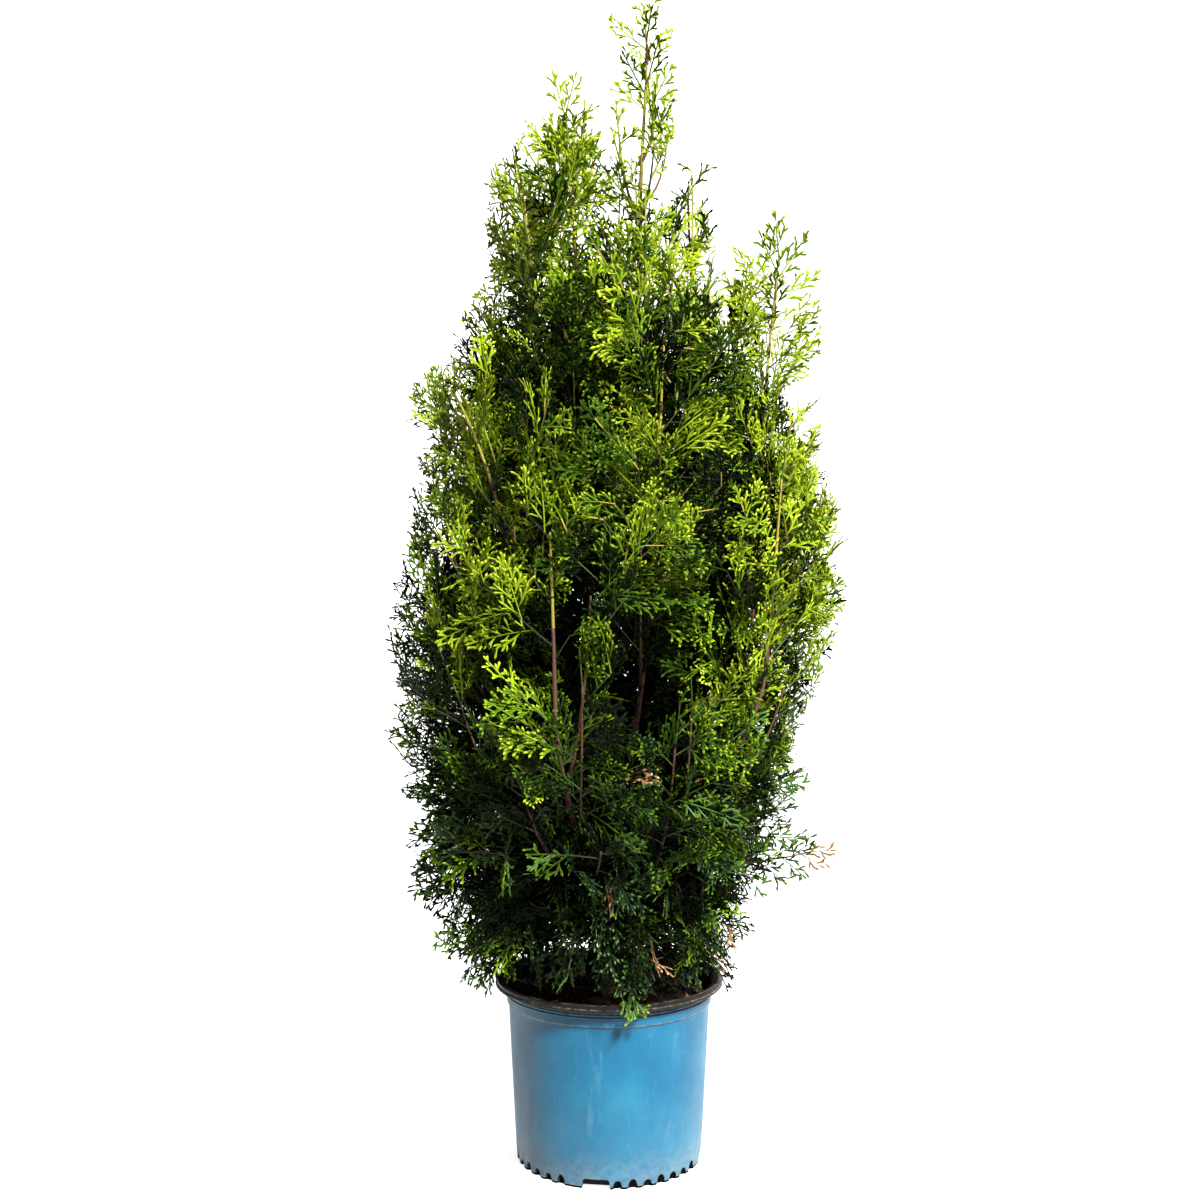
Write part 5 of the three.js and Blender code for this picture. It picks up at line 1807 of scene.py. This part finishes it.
def mixShell():
    turn, columns = evenTurns(mix["columns"]), mix["columns"]
    rings = [
        np.stack([radius * np.cos(turn), radius * np.sin(turn), np.full(columns, height)], 1)
        for radius, height in mix["profile"]
    ]
    for share in np.linspace(1, 0, mix["rings"])[:-1]:
        radius = mix["rim"] * share
        x, y = radius * np.cos(turn), radius * np.sin(turn)
        heap = mixCrown * np.clip((1 - share) / mix["slope"], 0, 1)
        edge = np.clip((1 - share) * 12, 0, 1)
        rings.append(np.stack([x, y, mixTop + heap + lumps(x, y) * edge], 1))
    vertices = np.concatenate([*rings, [[0, 0, mix["profile"][0][1]], [0, 0, mixTop + mixCrown]]])
    faces = turnedFaces(len(rings), columns)
    # The lowest rows, seen through the slots, are near black: painted shade.
    isShaded = np.zeros(len(faces), int)
    for start in (0, (len(rings) - 1) * columns):
        isShaded[start:start + mix["shadedRows"] * columns] = 1
    return vertices, faces, isShaded


def crumbMaterial(name, dark, light):
    material, shader = newMaterial(name, {"Roughness": 0.92, "IOR": 1.4})
    where = addNode(material, "TexCoord").outputs["Object"]
    grain = addNode(material, "TexNoise", {"Scale": 1 / (3 * mm), "Detail": 9, "Roughness": 0.75},
                    {"Vector": where})
    tone = addNode(material, "ValToRGB", {}, {"Fac": grain.outputs["Fac"]})
    rampStops(tone, [(0.4, dark), (0.66, light)])
    relief = addNode(material, "Bump", {"Strength": 0.9, "Distance": 1.2 * mm},
                     {"Height": grain.outputs["Fac"]})
    link(material, shader, {"Base Color": tone.outputs["Color"], "Normal": relief.outputs["Normal"]})
    return material


mixVertices, mixFaces, mixShaded = mixShell()
chipCorners = np.array([[-1, -1, -1], [1, -1, -1], [1, 1, -1], [-1, 1, -1],
                        [-1, -1, 1], [1, -1, 1], [1, 1, 1], [-1, 1, 1]], float)
chipFaces = np.array([[0, 2, 1], [0, 3, 2], [4, 5, 6], [4, 6, 7], [0, 1, 5], [0, 5, 4],
                      [1, 2, 6], [1, 6, 5], [2, 3, 7], [2, 7, 6], [3, 0, 4], [3, 4, 7]])
chipVertices, chipRows, chipNumbers = [], [], []
for i in range(mix["chips"]):
    radius, turn = mix["chipReach"] * math.sqrt(dice.uniform(0.04, 1)), dice.uniform(0, 2 * math.pi)
    x, y = radius * math.cos(turn), radius * math.sin(turn)
    size = np.array([dice.uniform(1.2, 5.5), dice.uniform(0.8, 2.2), dice.uniform(0.3, 0.9)])
    spin, tip = dice.uniform(0, math.pi), dice.normal() * 0.35
    corners = chipCorners * size * (1 + 0.25 * dice.normal(size=(8, 3)))
    rise = corners[:, 2] * math.cos(tip) + corners[:, 0] * math.sin(tip)
    level = corners[:, 0] * math.cos(tip) - corners[:, 2] * math.sin(tip)
    height = mixTop + mixCrown * min(1, (1 - radius / mix["rim"]) / mix["slope"]) + lumps(x, y) + 0.4
    chipVertices.append(np.stack([
        x + level * math.cos(spin) - corners[:, 1] * math.sin(spin),
        y + level * math.sin(spin) + corners[:, 1] * math.cos(spin),
        height + rise,
    ], 1))
    chipRows.append(chipFaces + len(mixVertices) + 8 * i)
    chipNumbers += [1 if dice.random() < 0.8 else 2] * len(chipFaces)
mixPiece = meshObject(
    "potting_mix_surface",
    np.concatenate([mixVertices, *chipVertices]),
    np.concatenate([mixFaces, *chipRows]),
    [
        crumbMaterial("peat and composted bark, damp", mix["dark"], mix["brown"]),
        crumbMaterial("bark chips, damp", "#20160F", "#4E3626"),
        crumbMaterial("bark chips and fallen leaf, dry", "#6B4C33", mix["tan"]),
        # painted shade: near-black peat seen through the slots
        crumbMaterial("peat, near black as painted shade, behind the slots", "#030303", "#0C0907"),
    ],
    np.concatenate([mixShaded * 3, chipNumbers]),
)
dress(mixPiece, "potting_mix", "potting_mix")
print("potting mix", len(mixPiece.data.polygons), "faces")


# Light: a soft key from the front right and above and a weak one from behind, in a pale room.
light = {
    "key": 8.1, "keyTurn": 34, "keyHeight": 44, "keySoftness": 9,
    "back": 1.5, "backTurn": 152, "backHeight": 34, "backSoftness": 30,
    "room": 0.104, "paper": 0.9,
}

# The studio in millimetres: half the floor's width, and the backdrop's share of that, foot, top and peak.
studio = {"half": 15000, "share": 0.98, "foot": -10.0, "top": 14000.0, "peak": 16000.0, "sides": 64}

world = bpy.data.worlds.new("room")
world.use_nodes = True
world.node_tree.nodes["Background"].inputs["Color"].default_value = (1, 1, 1, 1)
world.node_tree.nodes["Background"].inputs["Strength"].default_value = light["room"]
bpy.context.scene.world = world
bpy.context.scene.view_settings.view_transform = "Standard"

for lampName in ("key", "back"):
    lamp = bpy.data.lights.new(lampName, "SUN")
    lamp.energy = light[lampName]
    lamp.angle = math.radians(light[lampName + "Softness"])
    lampObject = bpy.data.objects.new(lampName, lamp)
    lampTurn, lampHeight = light[lampName + "Turn"], light[lampName + "Height"]
    lampObject.rotation_euler = (math.radians(90 - lampHeight), 0, math.radians(lampTurn))
    bpy.context.scene.collection.objects.link(lampObject)

# The floor glows a little, so that shadows on it stay faint, as on lit paper.
floorMaterial, _ = newMaterial("studio paper, pale, matte", {
    "Base Color": linear("#D8D8D8"), "Roughness": 0.9,
    "Emission Color": (1, 1, 1, 1), "Emission Strength": light["paper"],
})
half = studio["half"]
square = np.array([[-half, -half, 0], [half, -half, 0], [half, half, 0], [-half, half, 0]])
floor = meshObject("floor", square, np.array([[0, 1, 2, 3]]), [floorMaterial])
floor.visible_diffuse = False

# The backdrop is a tall ring that only the camera sees, so it doesn't light the plant.
backdropMaterial, _ = newMaterial("studio paper, lit from behind", {
    "Base Color": (1, 1, 1, 1), "Roughness": 1, "Emission Color": (1, 1, 1, 1), "Emission Strength": 1.0,
})
ringTurns, sides = evenTurns(studio["sides"]), studio["sides"]
ring = np.stack([half * np.cos(ringTurns), half * np.sin(ringTurns)], 1) * studio["share"]
low, high = (np.concatenate([ring, np.full((sides, 1), studio[end])], 1) for end in ("foot", "top"))
s = np.arange(sides)
roof = np.stack([sides + s, sides + (s + 1) % sides, np.full(sides, 2 * sides)], 1)
backdrop = meshObject("backdrop", np.concatenate([low, high, [[0, 0, studio["peak"]]]]),
                      np.concatenate([wallFaces(2, sides), roof]), [backdropMaterial])
backdrop.visible_diffuse = backdrop.visible_glossy = backdrop.visible_shadow = False
